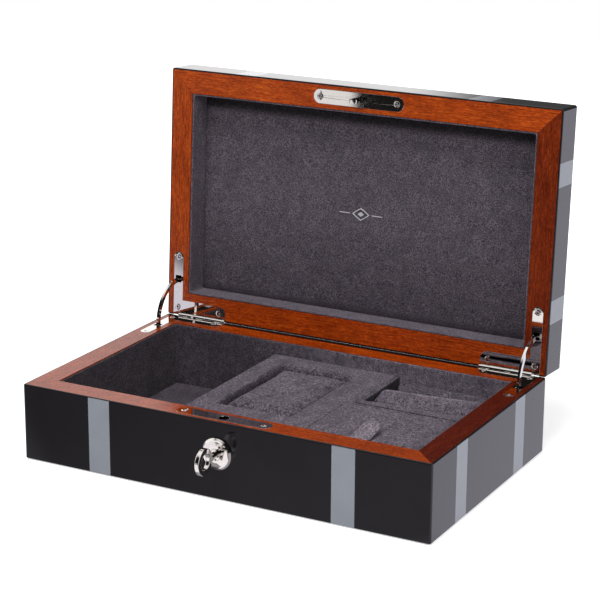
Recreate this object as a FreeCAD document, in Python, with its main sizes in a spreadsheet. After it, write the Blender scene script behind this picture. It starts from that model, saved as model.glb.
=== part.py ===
import FreeCAD, Part
import math
import os
import re
import Sketcher

# Lockable lacquered watch and accessory box: a mitred carcass with wood rims, a
# lid on two quadrant hinges, a cut lock with its key, and a suede interior.
# Frame: +X to the right, +Y to the back, +Z up, millimetres. The origin is the
# centre of the underside. The lid is drawn closed and then turned open about
# the hinge axis by its Placement, so its own drawing is in the closed frame.

Vector = FreeCAD.Vector
doc = FreeCAD.newDocument("watch_box")

# ---------------------------------------------------------------- driving sizes
# alias, value, what it is
SIZES = [
    # Carcass
    ("box_width", 280.0, "outside width, X"),
    ("box_depth", 170.0, "outside depth, Y"),
    ("base_height", 50.0, "height of the base at the rim"),
    ("lid_height", 23.5, "height of the lid"),
    ("seam_gap", 0.2, "gap between the two rims when closed"),
    ("lid_open_angle", 93.5, "angle the hinge stays stop the lid at"),
    ("board", 16.0, "thickness of the carcass boards"),
    ("bead", 1.0, "lacquered edge outside the wood rim, and depth of the inlay"),
    ("rim_thick", 3.0, "thickness of the wood rim"),
    ("edge_round", 0.9, "rounding of the horizontal outside edges"),
    ("hinge_edge_round", 0.1, "rounding of the two back edges that meet at the hinge line"),
    ("corner_round", 1.5, "rounding of the upright outside corners"),
    ("felt_thick", 0.8, "felt under the base"),
    ("felt_inset", 4.0, "felt margin"),
    ("bottom_top", 6.0, "height of the bottom panel's upper face"),
    ("top_thick", 4.0, "lid top panel"),
    ("stripe", 15.2, "width of the inlaid stripes"),
    ("stripe_mid_x", 83.9, "stripe centre from the middle, front and back"),
    ("stripe_mid_y", 43.5, "stripe centre from the middle, sides"),
    # Linings and centre insert
    ("lining", 1.2, "suede covered card on the walls"),
    ("lining_drop", 0.8, "lining stops this far short of the rim's face"),
    ("lining_play", 0.1, "gap round the lid panel and beside the left pad"),
    ("lid_panel_thick", 2.2, "lining panel under the lid top"),
    ("lid_panel_round", 0.8, "rounding of that panel's lower edges"),
    ("pad_thick", 2.0, "left floor pad"),
    ("pad_play", 0.2, "gap beside the floor pads"),
    ("deck_height", 41.0, "raised interior level"),
    ("insert_left", -46.0, "left side of the centre insert"),
    ("insert_right", 44.8, "right side of the centre insert"),
    ("insert_half", 67.7, "half depth of the inserts"),
    ("insert_wall", 4.0, "walls of the centre insert and of the bin"),
    ("well_left", -31.0, "watch well, left side"),
    ("well_right", 21.2, "watch well, right side"),
    ("well_front", -34.2, "watch well, front side"),
    ("well_back", 50.6, "watch well, back side"),
    ("well_floor", 12.0, "watch well floor"),
    ("well_wall", 4.0, "walls round the watch well"),
    ("deck_thick", 5.0, "deck of the centre insert"),
    ("pillow_play", 0.9, "gap round the watch pillow"),
    ("pillow_lift", 1.0, "gap under the watch pillow"),
    ("pillow_top", 43.0, "crown of the watch pillow"),
    ("pillow_round", 8.0, "rounding of the watch pillow"),
    ("pillow_skin", 1.6, "padded cover of the watch pillow"),
    # Accessory tray, flap and ring rolls
    ("tray_left", 45.0, "accessory tray, left side"),
    ("tray_right", 122.7, "accessory tray, right side"),
    ("bin_back", 2.0, "back wall of the bin under the flap"),
    ("bin_floor", 2.0, "floor of the bin"),
    ("bin_pad_thick", 1.6, "pad on the bin floor"),
    ("bay_front", 7.0, "front wall of the ring roll bay"),
    ("bay_floor", 4.0, "floor of the ring roll bay"),
    ("flap_left", 39.9, "left side of the flap"),
    ("flap_back", 5.0, "flap hinge edge"),
    ("flap_thick", 3.0, "flap board with its suede"),
    ("flap_top", 41.6, "upper face of the flap"),
    ("flap_play", 0.1, "gap under the flap"),
    ("flap_round", 6.0, "rounded back left corner of the flap"),
    ("flap_corner", 1.0, "rounding of the flap's other corners"),
    ("tab_mid", 78.0, "pull tab centre"),
    ("tab_width", 12.5, "pull tab width"),
    ("tab_length", 33.0, "pull tab length"),
    ("tab_thick", 1.6, "pull tab thickness"),
    ("tab_inset", 1.6, "front end of the pull tab from the tray front"),
    ("tab_rise", 6.2, "pull tab angle in degrees"),
    ("roll_split_one", 29.0, "between the first two ring rolls"),
    ("roll_split_two", 57.6, "between the last two ring rolls"),
    ("roll_gap", 0.3, "gap between neighbouring ring rolls"),
    ("roll_top", 41.0, "top of the front and middle ring rolls"),
    # Quadrant hinges
    ("leaf_thick", 1.5, "hinge leaf thickness"),
    ("leaf_mid", 131.75, "centre line of the leaf's side arm"),
    ("leaf_arm", 7.1, "width of the leaf's side arm"),
    ("leaf_reach", 44.4, "length of the leaf's side arm"),
    ("leaf_back", 10.7, "width of the leaf's back arm"),
    ("leaf_end", 94.3, "inner end of the leaf's back arm"),
    ("leaf_end_round", 5.2, "rounding of the back arm's end"),
    ("leaf_inset", 0.3, "leaf's back edge from the hinge line"),
    ("leaf_screw_inset", 6.0, "back corner screw from the hinge line"),
    ("knuckle_radius", 1.8, "hinge barrel"),
    ("knuckle_pitch", 7.22, "length of one knuckle"),
    ("knuckle_gap", 0.1, "axial play between knuckles"),
    ("knuckle_clear", 0.15, "radial gap round the other leaf's knuckles"),
    ("groove_play", 0.3, "gap between the barrel and its groove in the wood"),
    ("pin_radius", 1.0, "hinge pin"),
    ("pin_play", 0.06, "radial play in the lid knuckles"),
    ("slot_near", 23.1, "near end of the stay slot from the hinge edge"),
    ("slot_far", 28.0, "far end of the stay slot"),
    ("slot_width", 4.6, "width of the stay slot"),
    ("stay_radius", 25.0, "mean radius of the curved stay"),
    ("stay_band", 3.0, "radial width of the curved stay"),
    ("stay_thick", 1.6, "thickness of the curved stay"),
    ("stay_over", 6.2, "degrees the stop pins sit past each leaf"),
    ("stay_pin_radius", 0.8, "stop pins"),
    ("stay_pin_length", 6.2, "stop pins"),
    ("mortise_width", 6.8, "pocket for the stay in the side boards"),
    ("mortise_near", 12.8, "pocket end from the hinge edge"),
    ("mortise_depth", 22.0, "pocket depth from the rim plane"),
    # Screws
    ("screw_head", 2.0, "countersunk head radius"),
    ("screw_head_tall", 1.0, "height of the head"),
    ("screw_shank", 1.0, "shank radius"),
    ("screw_length", 7.0, "shank length"),
    ("cross_half", 1.3, "half length of the cross recess"),
    ("cross_slit", 0.25, "half width of the cross recess"),
    ("cross_depth", 0.6, "depth of the cross recess"),
    # Lock and strike
    ("plate_length", 64.8, "lock and strike plates"),
    ("plate_width", 9.8, "lock and strike plates"),
    ("plate_thick", 1.5, "lock and strike plates"),
    ("plate_y", -76.7, "centre line of both plates"),
    ("plate_screw", 27.4, "plate screw from the middle"),
    ("plate_hole", 3.3, "hole for the strike hook, radius"),
    ("case_half", 20.0, "lock case half length"),
    ("case_front", -82.5, "lock case, front face"),
    ("case_back", -71.5, "lock case, back face"),
    ("case_bottom", 22.0, "lock case, underside"),
    ("case_wall", 1.0, "lock case wall"),
    ("lock_z", 30.0, "height of the keyway"),
    ("plug_radius", 3.5, "lock plug"),
    ("plug_play", 0.05, "radial play of the plug"),
    ("plug_face", -87.3, "front of the plug"),
    ("plug_rear", -76.5, "rear of the plug"),
    ("cam_radius", 4.6, "cam disc"),
    ("cam_thick", 1.0, "cam disc"),
    ("throw", 3.6, "travel of the bolt and offset of the drive pin"),
    ("drive_pin", 0.8, "drive pin radius"),
    ("drive_length", 2.3, "drive pin length behind the cam"),
    ("bolt_gap", 0.6, "gap between cam and bolt"),
    ("bolt_thick", 1.2, "bolt plate"),
    ("bolt_left", -4.5, "left side of the bolt plate"),
    ("bolt_right", 9.0, "right side of the bolt"),
    ("bolt_drop", 6.0, "bolt plate below the keyway"),
    ("bolt_rise", 4.0, "bolt plate above the keyway"),
    ("bolt_arm_left", 4.2, "left side of the bolt arm"),
    ("tongue_gap", 0.6, "gap between tongue and hook"),
    ("tongue_low", 2.7, "underside of the tongue above the hook end"),
    ("tongue_high", 4.6, "top of the tongue and arm above the hook end"),
    ("key_radius", 1.5, "key shank radius"),
    ("key_play", 0.06, "radial play of the key in the plug"),
    ("key_end_play", 0.2, "gap past the end of the key"),
    ("key_bow_y", -100.8, "centre of the bow"),
    ("key_bow_radius", 8.4, "outside of the bow"),
    ("key_bow_hole", 4.7, "hole in the bow"),
    ("key_bow_thick", 3.0, "thickness of the bow"),
    ("key_bow_round", 0.7, "rounding of the bow's rims"),
    ("key_tip", -77.5, "end of the key"),
    ("bit_half", 0.55, "half thickness of the key bit"),
    ("bit_play", 0.1, "gap on each side of the bit"),
    ("bit_length", 3.0, "length of the bit along the key"),
    ("bit_reach", 3.2, "bit's lower edge below the keyway centre"),
    ("escutcheon_radius", 10.0, "round lock surround"),
    ("escutcheon_thick", 2.2, "round lock surround"),
    ("escutcheon_play", 0.2, "radial gap round the plug"),
    ("hook_half", 2.7, "half width of the strike hook"),
    ("hook_thick", 2.4, "thickness of the strike hook"),
    ("hook_end", 42.0, "lowest point of the strike hook, lid closed"),
    ("hook_round", 1.2, "rounding of the hook's lower corners"),
    ("notch_left", -0.8, "left side of the hook notch"),
    ("notch_low", 2.4, "underside of the notch above the hook end"),
    ("notch_high", 4.9, "top of the notch above the hook end"),
    ("tenon_half", 1.5, "half width of the hook's tenon"),
    ("tenon_thin", 0.7, "half thickness of the hook's tenon"),
]
sheet = doc.addObject("Spreadsheet::Sheet", "Sizes")
for row, (alias, size, note) in enumerate(SIZES, start=1):
    sheet.set(f"A{row}", note)
    sheet.set(f"B{row}", repr(size))
    sheet.setAlias(f"B{row}", alias)
doc.recompute()
ALIASES = {alias for alias, _, _ in SIZES}


def num(alias):
    return float(sheet.get(alias))


def expression(text):
    """Text over the sheet's aliases, as a FreeCAD expression."""
    def qualify(match):
        word = match.group(0)
        return "Sizes." + word if word in ALIASES else word

    return re.sub(r"[a-z][a-z_]+", qualify, text)


def bind(obj, prop, text):
    obj.setExpression(prop, expression(text))


# ------------------------------------------------------------------------ spans
# A span is a pair of expressions, low and high, on one axis. A bare 1 or 5 added
# to a cutter's span only carries it clear of the face it opens.


def about(middle, half):
    return f"({middle}) - ({half})", f"({middle}) + ({half})"


def across(half):
    return f"-({half})", f"({half})"


def widened(span, by):
    return f"({span[0]}) - ({by})", f"({span[1]}) + ({by})"


def shrunk(span, by):
    return f"({span[0]}) + ({by})", f"({span[1]}) - ({by})"


HALF_X = "(box_width / 2)"
HALF_Y = "(box_depth / 2)"
SEAM = "(base_height + seam_gap / 2)"
LID_LOW = "(base_height + seam_gap)"
LID_TOP = "(base_height + seam_gap + lid_height)"
OUTER_X, OUTER_Y = across(HALF_X), across(HALF_Y)
RIM_X, RIM_Y = shrunk(OUTER_X, "bead"), shrunk(OUTER_Y, "bead")
INNER_X, INNER_Y = shrunk(OUTER_X, "board"), shrunk(OUTER_Y, "board")

# The hinge axis runs along X at this Y and Z.
HINGE_Y = num("box_depth") / 2
HINGE_Z = num("base_height") + num("seam_gap") / 2

# ------------------------------------------------------------------ small tools


def block(x_span, y_span, z_span):
    box = doc.addObject("Part::Box", "Block")
    sides = (("Length", x_span, "x"), ("Width", y_span, "y"), ("Height", z_span, "z"))
    for prop, (low, high), axis in sides:
        bind(box, prop, f"({high}) - ({low})")
        bind(box, "Placement.Base." + axis, low)
    return box


AXIS_TURNS = {
    "z": FreeCAD.Rotation(),
    "x": FreeCAD.Rotation(Vector(0, 1, 0), 90),
    "y": FreeCAD.Rotation(Vector(1, 0, 0), -90),
}


def rod(axis, span, centre, radius):
    """A cylinder along axis. centre places it on the other two axes, in X, Y, Z order."""
    cylinder = doc.addObject("Part::Cylinder", "Rod")
    cylinder.Placement = FreeCAD.Placement(Vector(0, 0, 0), AXIS_TURNS[axis])
    bind(cylinder, "Radius", radius)
    bind(cylinder, "Height", f"({span[1]}) - ({span[0]})")
    bind(cylinder, "Placement.Base." + axis, span[0])
    others = [name for name in "xyz" if name != axis]
    for name, place in zip(others, centre):
        bind(cylinder, "Placement.Base." + name, place)
    return cylinder


def join(parts):
    if len(parts) == 1:
        return parts[0]
    fusion = doc.addObject("Part::MultiFuse", "Join")
    fusion.Shapes = list(parts)
    fusion.Refine = True
    return fusion


def cut(base, *tools):
    result = doc.addObject("Part::Cut", "Cut")
    result.Base = base
    result.Tool = join(tools)
    result.Refine = True
    return result


def common(base, tool):
    result = doc.addObject("Part::Common", "Common")
    result.Base = base
    result.Tool = tool
    result.Refine = True
    return result


def mirror(source, axis, at="0"):
    """The mirror image of source across the plane axis = at."""
    image = doc.addObject("Part::Mirroring", "Mirror")
    image.Source = source
    image.Normal = {"x": Vector(1, 0, 0), "z": Vector(0, 0, 1)}[axis]
    bind(image, "Base." + axis, at)
    return image


def over_seam(source):
    """The lid's counterpart of a base piece."""
    return mirror(source, "z", SEAM)


def both_sides(source):
    return join([source, mirror(source, "x")])


def direction(edge):
    """The axis a straight edge runs along."""
    run = edge.Vertexes[-1].Point - edge.Vertexes[0].Point
    longest = max(abs(run.x), abs(run.y), abs(run.z))
    return "x" if abs(run.x) == longest else "y" if abs(run.y) == longest else "z"


def same(first, second):
    return abs(first - second) < 1e-6


def rounded(source, pick):
    """Fillets the edges that pick(edge, bounds of the source) gives a radius for."""
    doc.recompute()
    fillet = doc.addObject("Part::Fillet", "Rounded")
    fillet.Base = source
    bounds = source.Shape.BoundBox
    picked = []
    for index, edge in enumerate(source.Shape.Edges, start=1):
        radius = pick(edge, bounds)
        if radius:
            picked.append((index, radius, radius))
    fillet.Edges = picked
    return fillet


def turn(obj, axis, alias):
    """Turns obj about an axis by a sheet angle."""
    rotation = FreeCAD.Rotation(axis, num(alias))
    obj.Placement = FreeCAD.Placement(Vector(0, 0, 0), rotation)
    bind(obj, "Placement.Rotation.Angle", alias)


NODES = []


def node(obj, label, lid=False):
    """Names a finished piece. A lid piece gets the Placement that opens it on the hinge axis."""
    obj.Label = label
    if lid:
        turn(obj, Vector(-1, 0, 0), "lid_open_angle")
        cosine, sine = "cos(lid_open_angle * 1deg)", "sin(lid_open_angle * 1deg)"
        bind(obj, "Placement.Base.y", f"{HALF_Y} - ({HALF_Y} * {cosine} + {SEAM} * {sine})")
        bind(obj, "Placement.Base.z", f"{SEAM} - ({SEAM} * {cosine} - {HALF_Y} * {sine})")
    NODES.append(obj)
    return obj


# Sketch helpers


def new_sketch(body, name, role):
    """A sketch on one of the body's origin planes."""
    sketch = body.newObject("Sketcher::SketchObject", name)
    support = [f for f in body.Origin.OriginFeatures if f.Role == role][0]
    sketch.AttachmentSupport = [(support, "")]
    sketch.MapMode = "FlatFace"
    return sketch


def circle(centre, radius):
    return Part.Circle(centre, Vector(0, 0, 1), radius)


def arc(centre, radius, start, end):
    return Part.ArcOfCircle(circle(centre, radius), start, end)


def constrain(sketch, *terms):
    return sketch.addConstraint(Sketcher.Constraint(*terms))


def drive(sketch, text, *terms):
    """A dimension whose value follows the sheet. The last term is its present value."""
    index = constrain(sketch, *terms)
    sketch.setExpression(f"Constraints[{index}]", expression(text))


def pad(body, name, sketch, length, symmetric=False):
    feature = body.newObject("PartDesign::Pad", name)
    feature.Profile = sketch
    if symmetric:
        feature.SideType = "Symmetric"
    bind(feature, "Length", length)
    doc.recompute()
    return feature


# --------------------------------------------------------------------- fasteners
# Countersunk wood screws, drawn in the base with the head flush with the rim
# plane: a cone head, a shank, a cross recess.


def screw_blank(x, y):
    under_head = "base_height - screw_head_tall"
    head = doc.addObject("Part::Cone", "ScrewHead")
    bind(head, "Radius1", "screw_shank")
    bind(head, "Radius2", "screw_head")
    bind(head, "Height", "screw_head_tall")
    bind(head, "Placement.Base.x", x)
    bind(head, "Placement.Base.y", y)
    bind(head, "Placement.Base.z", under_head)
    shank = rod("z", (under_head + " - screw_length", under_head), (x, y), "screw_shank")
    return join([head, shank])


def screw_cross(x, y):
    heights = ("base_height - cross_depth", "base_height + 1")
    return join([
        block(about(x, "cross_half"), about(y, "cross_slit"), heights),
        block(about(x, "cross_slit"), about(y, "cross_half"), heights),
    ])


def screw_blanks(spots):
    return join([screw_blank(x, y) for x, y in spots])


def screw_crosses(spots):
    return join([screw_cross(x, y) for x, y in spots])


# Hinge leaf landmarks, right side
LEAF_ARM_X = about("leaf_mid", "leaf_arm / 2")
LEAF_RIGHT = LEAF_ARM_X[1]
LEAF_TIP_Y = "(box_depth / 2 - leaf_reach + leaf_arm / 2)"
LEAF_EDGE = "(box_depth / 2 - leaf_inset)"
LEAF_Z = ("(base_height - leaf_thick)", "base_height")
BEND_X = "(leaf_end + leaf_end_round)"
BEND_Y = "(box_depth / 2 - leaf_back + leaf_end_round)"

LEAF_SPOTS = [
    ("leaf_mid", LEAF_TIP_Y),
    (BEND_X, BEND_Y),
    ("leaf_mid", "(box_depth / 2 - leaf_screw_inset)"),
]
leaf_blanks = screw_blanks(LEAF_SPOTS)
leaf_crosses = both_sides(screw_crosses(LEAF_SPOTS))
hinge_screws = node(cut(both_sides(leaf_blanks), leaf_crosses), "hinge_screws_base")
node(over_seam(hinge_screws), "hinge_screws_lid", lid=True)

PLATE_SPOTS = [("plate_screw", "plate_y"), ("(-plate_screw)", "plate_y")]
plate_blanks = screw_blanks(PLATE_SPOTS)
face_screws = node(cut(plate_blanks, screw_crosses(PLATE_SPOTS)), "lock_face_screws")
strike_blanks = over_seam(plate_blanks)
node(over_seam(face_screws), "strike_plate_screws", lid=True)

# ------------------------------------------------------------- quadrant hinges
# An L-shaped leaf lies flush in each rim. The barrel runs along the back edge,
# with its knuckles numbered from the inner end.
KNUCKLES = 5
BASE_KNUCKLES = range(0, KNUCKLES, 2)
LID_KNUCKLES = range(1, KNUCKLES, 2)
BARREL_X = ("leaf_end", f"leaf_end + {KNUCKLES} * knuckle_pitch")
HINGE_AXIS = (HALF_Y, SEAM)


def leaf_blank():
    back_y = "box_depth / 2 - leaf_back"
    return join([
        block(LEAF_ARM_X, (LEAF_TIP_Y, LEAF_EDGE), LEAF_Z),
        rod("z", LEAF_Z, ("leaf_mid", LEAF_TIP_Y), "leaf_arm / 2"),
        block((BEND_X, LEAF_RIGHT), (back_y, LEAF_EDGE), LEAF_Z),
        block(("leaf_end", BEND_X), (BEND_Y, LEAF_EDGE), LEAF_Z),
        rod("z", LEAF_Z, (BEND_X, BEND_Y), "leaf_end_round"),
    ])


def barrel(knuckles, radius, grow):
    """Some of the knuckles, each lengthened by grow at both ends."""
    rods = []
    for i in knuckles:
        ends = (f"leaf_end + {i} * knuckle_pitch", f"leaf_end + {i + 1} * knuckle_pitch")
        rods.append(rod("x", widened(ends, grow), HINGE_AXIS, radius))
    return join(rods)


def leaf(blank, own, others, *cutters):
    """A leaf cleared round the other leaf's knuckles, with its own knuckles added."""
    clearance = barrel(others, "knuckle_radius + knuckle_clear", "knuckle_gap")
    cleared = cut(blank, clearance)
    return cut(join([cleared, barrel(own, "knuckle_radius", "-knuckle_gap / 2")]), *cutters)


base_blank = leaf_blank()
lid_blank = over_seam(base_blank)
stay_slot = block(
    about("leaf_mid", "slot_width / 2"),
    (f"{HALF_Y} - slot_far", f"{HALF_Y} - slot_near"),
    widened(LEAF_Z, 1),
)
lid_stay_slot = over_seam(stay_slot)
lid_leaf_blanks = over_seam(leaf_blanks)
pin_hole = rod("x", widened(BARREL_X, 1), HINGE_AXIS, "pin_radius")
loose_pin_hole = rod("x", widened(BARREL_X, 1), HINGE_AXIS, "pin_radius + pin_play")


def lid_leaf():
    return leaf(lid_blank, LID_KNUCKLES, BASE_KNUCKLES,
                lid_stay_slot, loose_pin_hole, lid_leaf_blanks)


base_leaf = leaf(base_blank, BASE_KNUCKLES, LID_KNUCKLES, stay_slot, pin_hole, leaf_blanks)
node(base_leaf, "hinge_leaf_base_right")
node(mirror(base_leaf, "x"), "hinge_leaf_base_left")
# The left lid leaf mirrors a second, unopened leaf.
node(lid_leaf(), "hinge_leaf_lid_right", lid=True)
node(mirror(lid_leaf(), "x"), "hinge_leaf_lid_left", lid=True)

hinge_pin = node(rod("x", BARREL_X, HINGE_AXIS, "pin_radius"), "hinge_pin_right")
node(mirror(hinge_pin, "x"), "hinge_pin_left")


# The curved stay is concentric with the hinge axis. It floats between the two
# leaves and turns half as far as the lid; a stop pin under each leaf holds it.
def stay_blade():
    body = doc.addObject("PartDesign::Body", "StayBlade")
    sketch = new_sketch(body, "StayBladeSketch", "YZ_Plane")
    centre = Vector(HINGE_Y, HINGE_Z, 0)
    mean, half = num("stay_radius"), num("stay_band") / 2
    over, opening = math.radians(num("stay_over")), math.radians(num("lid_open_angle"))
    # Angle pi points to the front along the rim; angles fall towards the lid.
    lid_end, base_end = math.pi - opening - over, math.pi + over

    def on_mean(angle):
        return centre + Vector(mean * math.cos(angle), mean * math.sin(angle), 0)

    sketch.addGeometry(arc(centre, mean - half, lid_end, base_end))
    sketch.addGeometry(arc(centre, mean + half, lid_end, base_end))
    sketch.addGeometry(arc(on_mean(base_end), half, base_end, base_end + math.pi))
    sketch.addGeometry(arc(on_mean(lid_end), half, lid_end - math.pi, lid_end))
    for meeting in ((0, 2, 2, 2), (1, 2, 2, 1), (0, 1, 3, 1), (1, 1, 3, 2), (0, 3, 1, 3)):
        constrain(sketch, "Coincident", *meeting)
    drive(sketch, "stay_radius - stay_band / 2", "Radius", 0, mean - half)
    drive(sketch, "stay_radius + stay_band / 2", "Radius", 1, mean + half)
    drive(sketch, HALF_Y, "DistanceX", -1, 1, 0, 3, HINGE_Y)
    drive(sketch, SEAM, "DistanceY", -1, 1, 0, 3, HINGE_Z)
    pad(body, "StayBladePad", sketch, "stay_thick", symmetric=True)
    bind(body, "Placement.Base.x", "leaf_mid")
    return body


def stop_pin(angle):
    y = f"box_depth / 2 + stay_radius * cos(({angle}) * 1deg)"
    z = f"{SEAM} + stay_radius * sin(({angle}) * 1deg)"
    return rod("x", about("leaf_mid", "stay_pin_length / 2"), (y, z), "stay_pin_radius")


stay = join([
    stay_blade(),
    stop_pin("180 + stay_over"),
    stop_pin("180 - lid_open_angle - stay_over"),
])
node(stay, "hinge_stay_right")
node(mirror(stay, "x"), "hinge_stay_left")


def hinge_pockets():
    """What the right hinge's hardware needs cut from the base wood."""
    seat = block(("leaf_end", LEAF_RIGHT), (LEAF_EDGE, HALF_Y + " + 1"),
                 (LEAF_Z[0], LEAF_Z[1] + " + 1"))
    mortise = block(
        about("leaf_mid", "mortise_width / 2"),
        (f"{HALF_Y} - slot_far", f"{HALF_Y} - mortise_near"),
        ("base_height - mortise_depth", LEAF_Z[0]),
    )
    groove = rod("x", widened(BARREL_X, "groove_play"), HINGE_AXIS,
                 "knuckle_radius + groove_play")
    return join([base_blank, seat, mortise, groove, leaf_blanks])


hinge_cuts_base = both_sides(hinge_pockets())
hinge_cuts_lid = over_seam(hinge_cuts_base)

# -------------------------------------------------------------------- cut lock


def plate_centre_hole(body, name):
    before = body.Shape.Volume
    sketch = new_sketch(body, name + "HoleSketch", "XY_Plane")
    sketch.addGeometry(circle(Vector(0, 0, 0), num("plate_hole")))
    constrain(sketch, "Coincident", 0, 3, -1, 1)
    drive(sketch, "plate_hole", "Radius", 0, num("plate_hole"))
    pocket = body.newObject("PartDesign::Pocket", name + "Hole")
    pocket.Profile = sketch
    pocket.Type = "ThroughAll"
    pocket.SideType = "Symmetric"
    doc.recompute()
    if body.Shape.Volume > before - 10:
        raise RuntimeError(name + ": the centre hole cut nothing")


def stadium_plate(name, underside, hole=False):
    """A round-ended plate with its underside at a height."""
    body = doc.addObject("PartDesign::Body", name + "Body")
    sketch = new_sketch(body, name + "Outline", "XY_Plane")
    radius = num("plate_width") / 2
    run = (num("plate_length") - num("plate_width")) / 2
    quarter = math.pi / 2
    sketch.addGeometry(Part.LineSegment(Vector(-run, -radius, 0), Vector(run, -radius, 0)))
    sketch.addGeometry(Part.LineSegment(Vector(run, radius, 0), Vector(-run, radius, 0)))
    sketch.addGeometry(arc(Vector(run, 0, 0), radius, -quarter, quarter))
    sketch.addGeometry(arc(Vector(-run, 0, 0), radius, quarter, 3 * quarter))
    for meeting in ((0, 2, 2, 1), (1, 1, 2, 2), (1, 2, 3, 1), (0, 1, 3, 2)):
        constrain(sketch, "Tangent", *meeting)
    constrain(sketch, "Horizontal", 0)
    constrain(sketch, "Symmetric", 2, 3, 3, 3, -1, 1)
    drive(sketch, "plate_width / 2", "Radius", 2, radius)
    drive(sketch, "plate_length - plate_width", "DistanceX", 3, 3, 2, 3, 2 * run)
    pad(body, name + "Pad", sketch, "plate_thick")
    if hole:
        plate_centre_hole(body, name)
    bind(body, "Placement.Base.y", "plate_y")
    bind(body, "Placement.Base.z", underside)
    return body


PLATE_UNDER = "base_height - plate_thick"
node(cut(stadium_plate("FacePlate", PLATE_UNDER, hole=True), plate_blanks), "lock_face_plate")

# Strike plate in the lid, with the hook's tenon let into it
tenon = block(across("tenon_half"), about("plate_y", "tenon_thin"),
              (LID_LOW, LID_LOW + " + plate_thick"))
strike_body = stadium_plate("StrikePlate", LID_LOW)
node(cut(strike_body, strike_blanks, tenon), "strike_plate", lid=True)


def strike_hook():
    thickness = about("plate_y", "hook_thick / 2")
    web = block(across("hook_half"), thickness, ("hook_end", LID_LOW))
    notch = block(("notch_left", "hook_half + 1"), widened(thickness, 1),
                  ("hook_end + notch_low", "hook_end + notch_high"))

    def lower_corners(edge, bounds):
        low = same(edge.BoundBox.ZMin, num("hook_end"))
        return num("hook_round") if direction(edge) == "y" and low else 0

    return join([cut(rounded(web, lower_corners), notch), tenon])


node(strike_hook(), "strike_hook", lid=True)

# Lock case, open at the top under the face plate
CASE_X, CASE_Y = across("case_half"), ("case_front", "case_back")
case_outer = block(CASE_X, CASE_Y, ("case_bottom", PLATE_UNDER))
case_inner = block(shrunk(CASE_X, "case_wall"), shrunk(CASE_Y, "case_wall"),
                   ("case_bottom + case_wall", "base_height"))
KEY_AXIS = ("0", "lock_z")
case_plug_hole = rod("y", ("case_front - 1", "case_front + case_wall + 1"), KEY_AXIS,
                     "plug_radius + plug_play")
node(cut(case_outer, case_inner, case_plug_hole), "lock_case")

# What the lock and the strike plate need cut from the wood
plate_seat = stadium_plate("PlateSeat", PLATE_UNDER)
wood_plug_hole = rod("y", ("-box_depth / 2 - 1", "case_front + 0.5"), KEY_AXIS,
                     "plug_radius + 0.3")
lock_cuts = join([plate_seat, case_outer, wood_plug_hole, plate_blanks])
strike_cuts = join([over_seam(plate_seat), strike_blanks])


def escutcheon():
    """Round surround, a profile turned about the keyway."""
    body = doc.addObject("PartDesign::Body", "EscutcheonBody")
    sketch = new_sketch(body, "EscutcheonProfile", "XY_Plane")
    outer, thick = num("escutcheon_radius"), num("escutcheon_thick")
    inner = num("plug_radius") + num("escutcheon_play")
    # radius, Y from the box's front face (negative stands proud of it)
    profile = [
        (inner, 0),
        (outer, 0),
        (outer, -0.45 * thick),
        (outer - 1.1, -0.9 * thick),
        (outer - 2.0, -0.82 * thick),
        (inner + 1.6, -thick),
        (inner, -thick),
    ]
    points = [Vector(x, y, 0) for x, y in profile]
    for start, end in zip(points, points[1:] + points[:1]):
        sketch.addGeometry(Part.LineSegment(start, end))
    for i in range(len(points)):
        constrain(sketch, "Coincident", i, 2, (i + 1) % len(points), 1)
    constrain(sketch, "Horizontal", 0)
    constrain(sketch, "Vertical", 1)
    constrain(sketch, "PointOnObject", 0, 1, -1)
    drive(sketch, "plug_radius + escutcheon_play", "DistanceX", -1, 1, 0, 1, inner)
    drive(sketch, "escutcheon_radius", "DistanceX", -1, 1, 1, 1, outer)
    turning = body.newObject("PartDesign::Revolution", "EscutcheonTurn")
    turning.Profile = sketch
    turning.ReferenceAxis = (sketch, ["V_Axis"])
    turning.Angle = 360
    doc.recompute()
    bind(body, "Placement.Base.y", "-box_depth / 2")
    bind(body, "Placement.Base.z", "lock_z")
    return body


node(escutcheon(), "escutcheon")


def lock_plug():
    """Plug with its keyway, cam disc and drive pin."""
    cam_rear = "plug_rear + cam_thick"
    barrel_rod = rod("y", ("plug_face", "plug_rear"), KEY_AXIS, "plug_radius")
    cam = rod("y", ("plug_rear", cam_rear), KEY_AXIS, "cam_radius")
    pin = rod("y", (cam_rear, cam_rear + " + drive_length"), ("0", "lock_z - throw"),
              "drive_pin")
    key_run = ("plug_face - 1", "key_tip + key_end_play")
    keyway = rod("y", key_run, KEY_AXIS, "key_radius + key_play")
    bit_way = block(across("bit_half + bit_play"), key_run,
                    ("lock_z - plug_radius - 1", "lock_z"))
    return cut(join([barrel_rod, cam, pin]), keyway, bit_way)


node(lock_plug(), "lock_plug")


def lock_bolt():
    """A plate behind the cam with a slot for the drive pin, an arm and a tongue."""
    front = "(plug_rear + cam_thick + bolt_gap)"
    back = f"({front} + bolt_thick)"
    shoulder, top = "lock_z + bolt_rise", "hook_end + tongue_high"
    plate = block(("bolt_left", "bolt_right"), (front, back), ("lock_z - bolt_drop", shoulder))
    arm = block(("bolt_arm_left", "bolt_right"), (front, back), (shoulder, top))
    tongue = block(("hook_half + tongue_gap", "bolt_right"), ("plate_y - 1", back),
                   ("hook_end + tongue_low", top))
    slot = block(
        ("-drive_pin - 0.23 * throw - 0.05", "drive_pin + 0.1"),
        widened((front, back), 1),
        ("lock_z - throw - drive_pin - 0.15", "lock_z + drive_pin + 0.25"),
    )
    return cut(join([plate, arm, tongue]), slot)


node(lock_bolt(), "lock_bolt")


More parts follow.
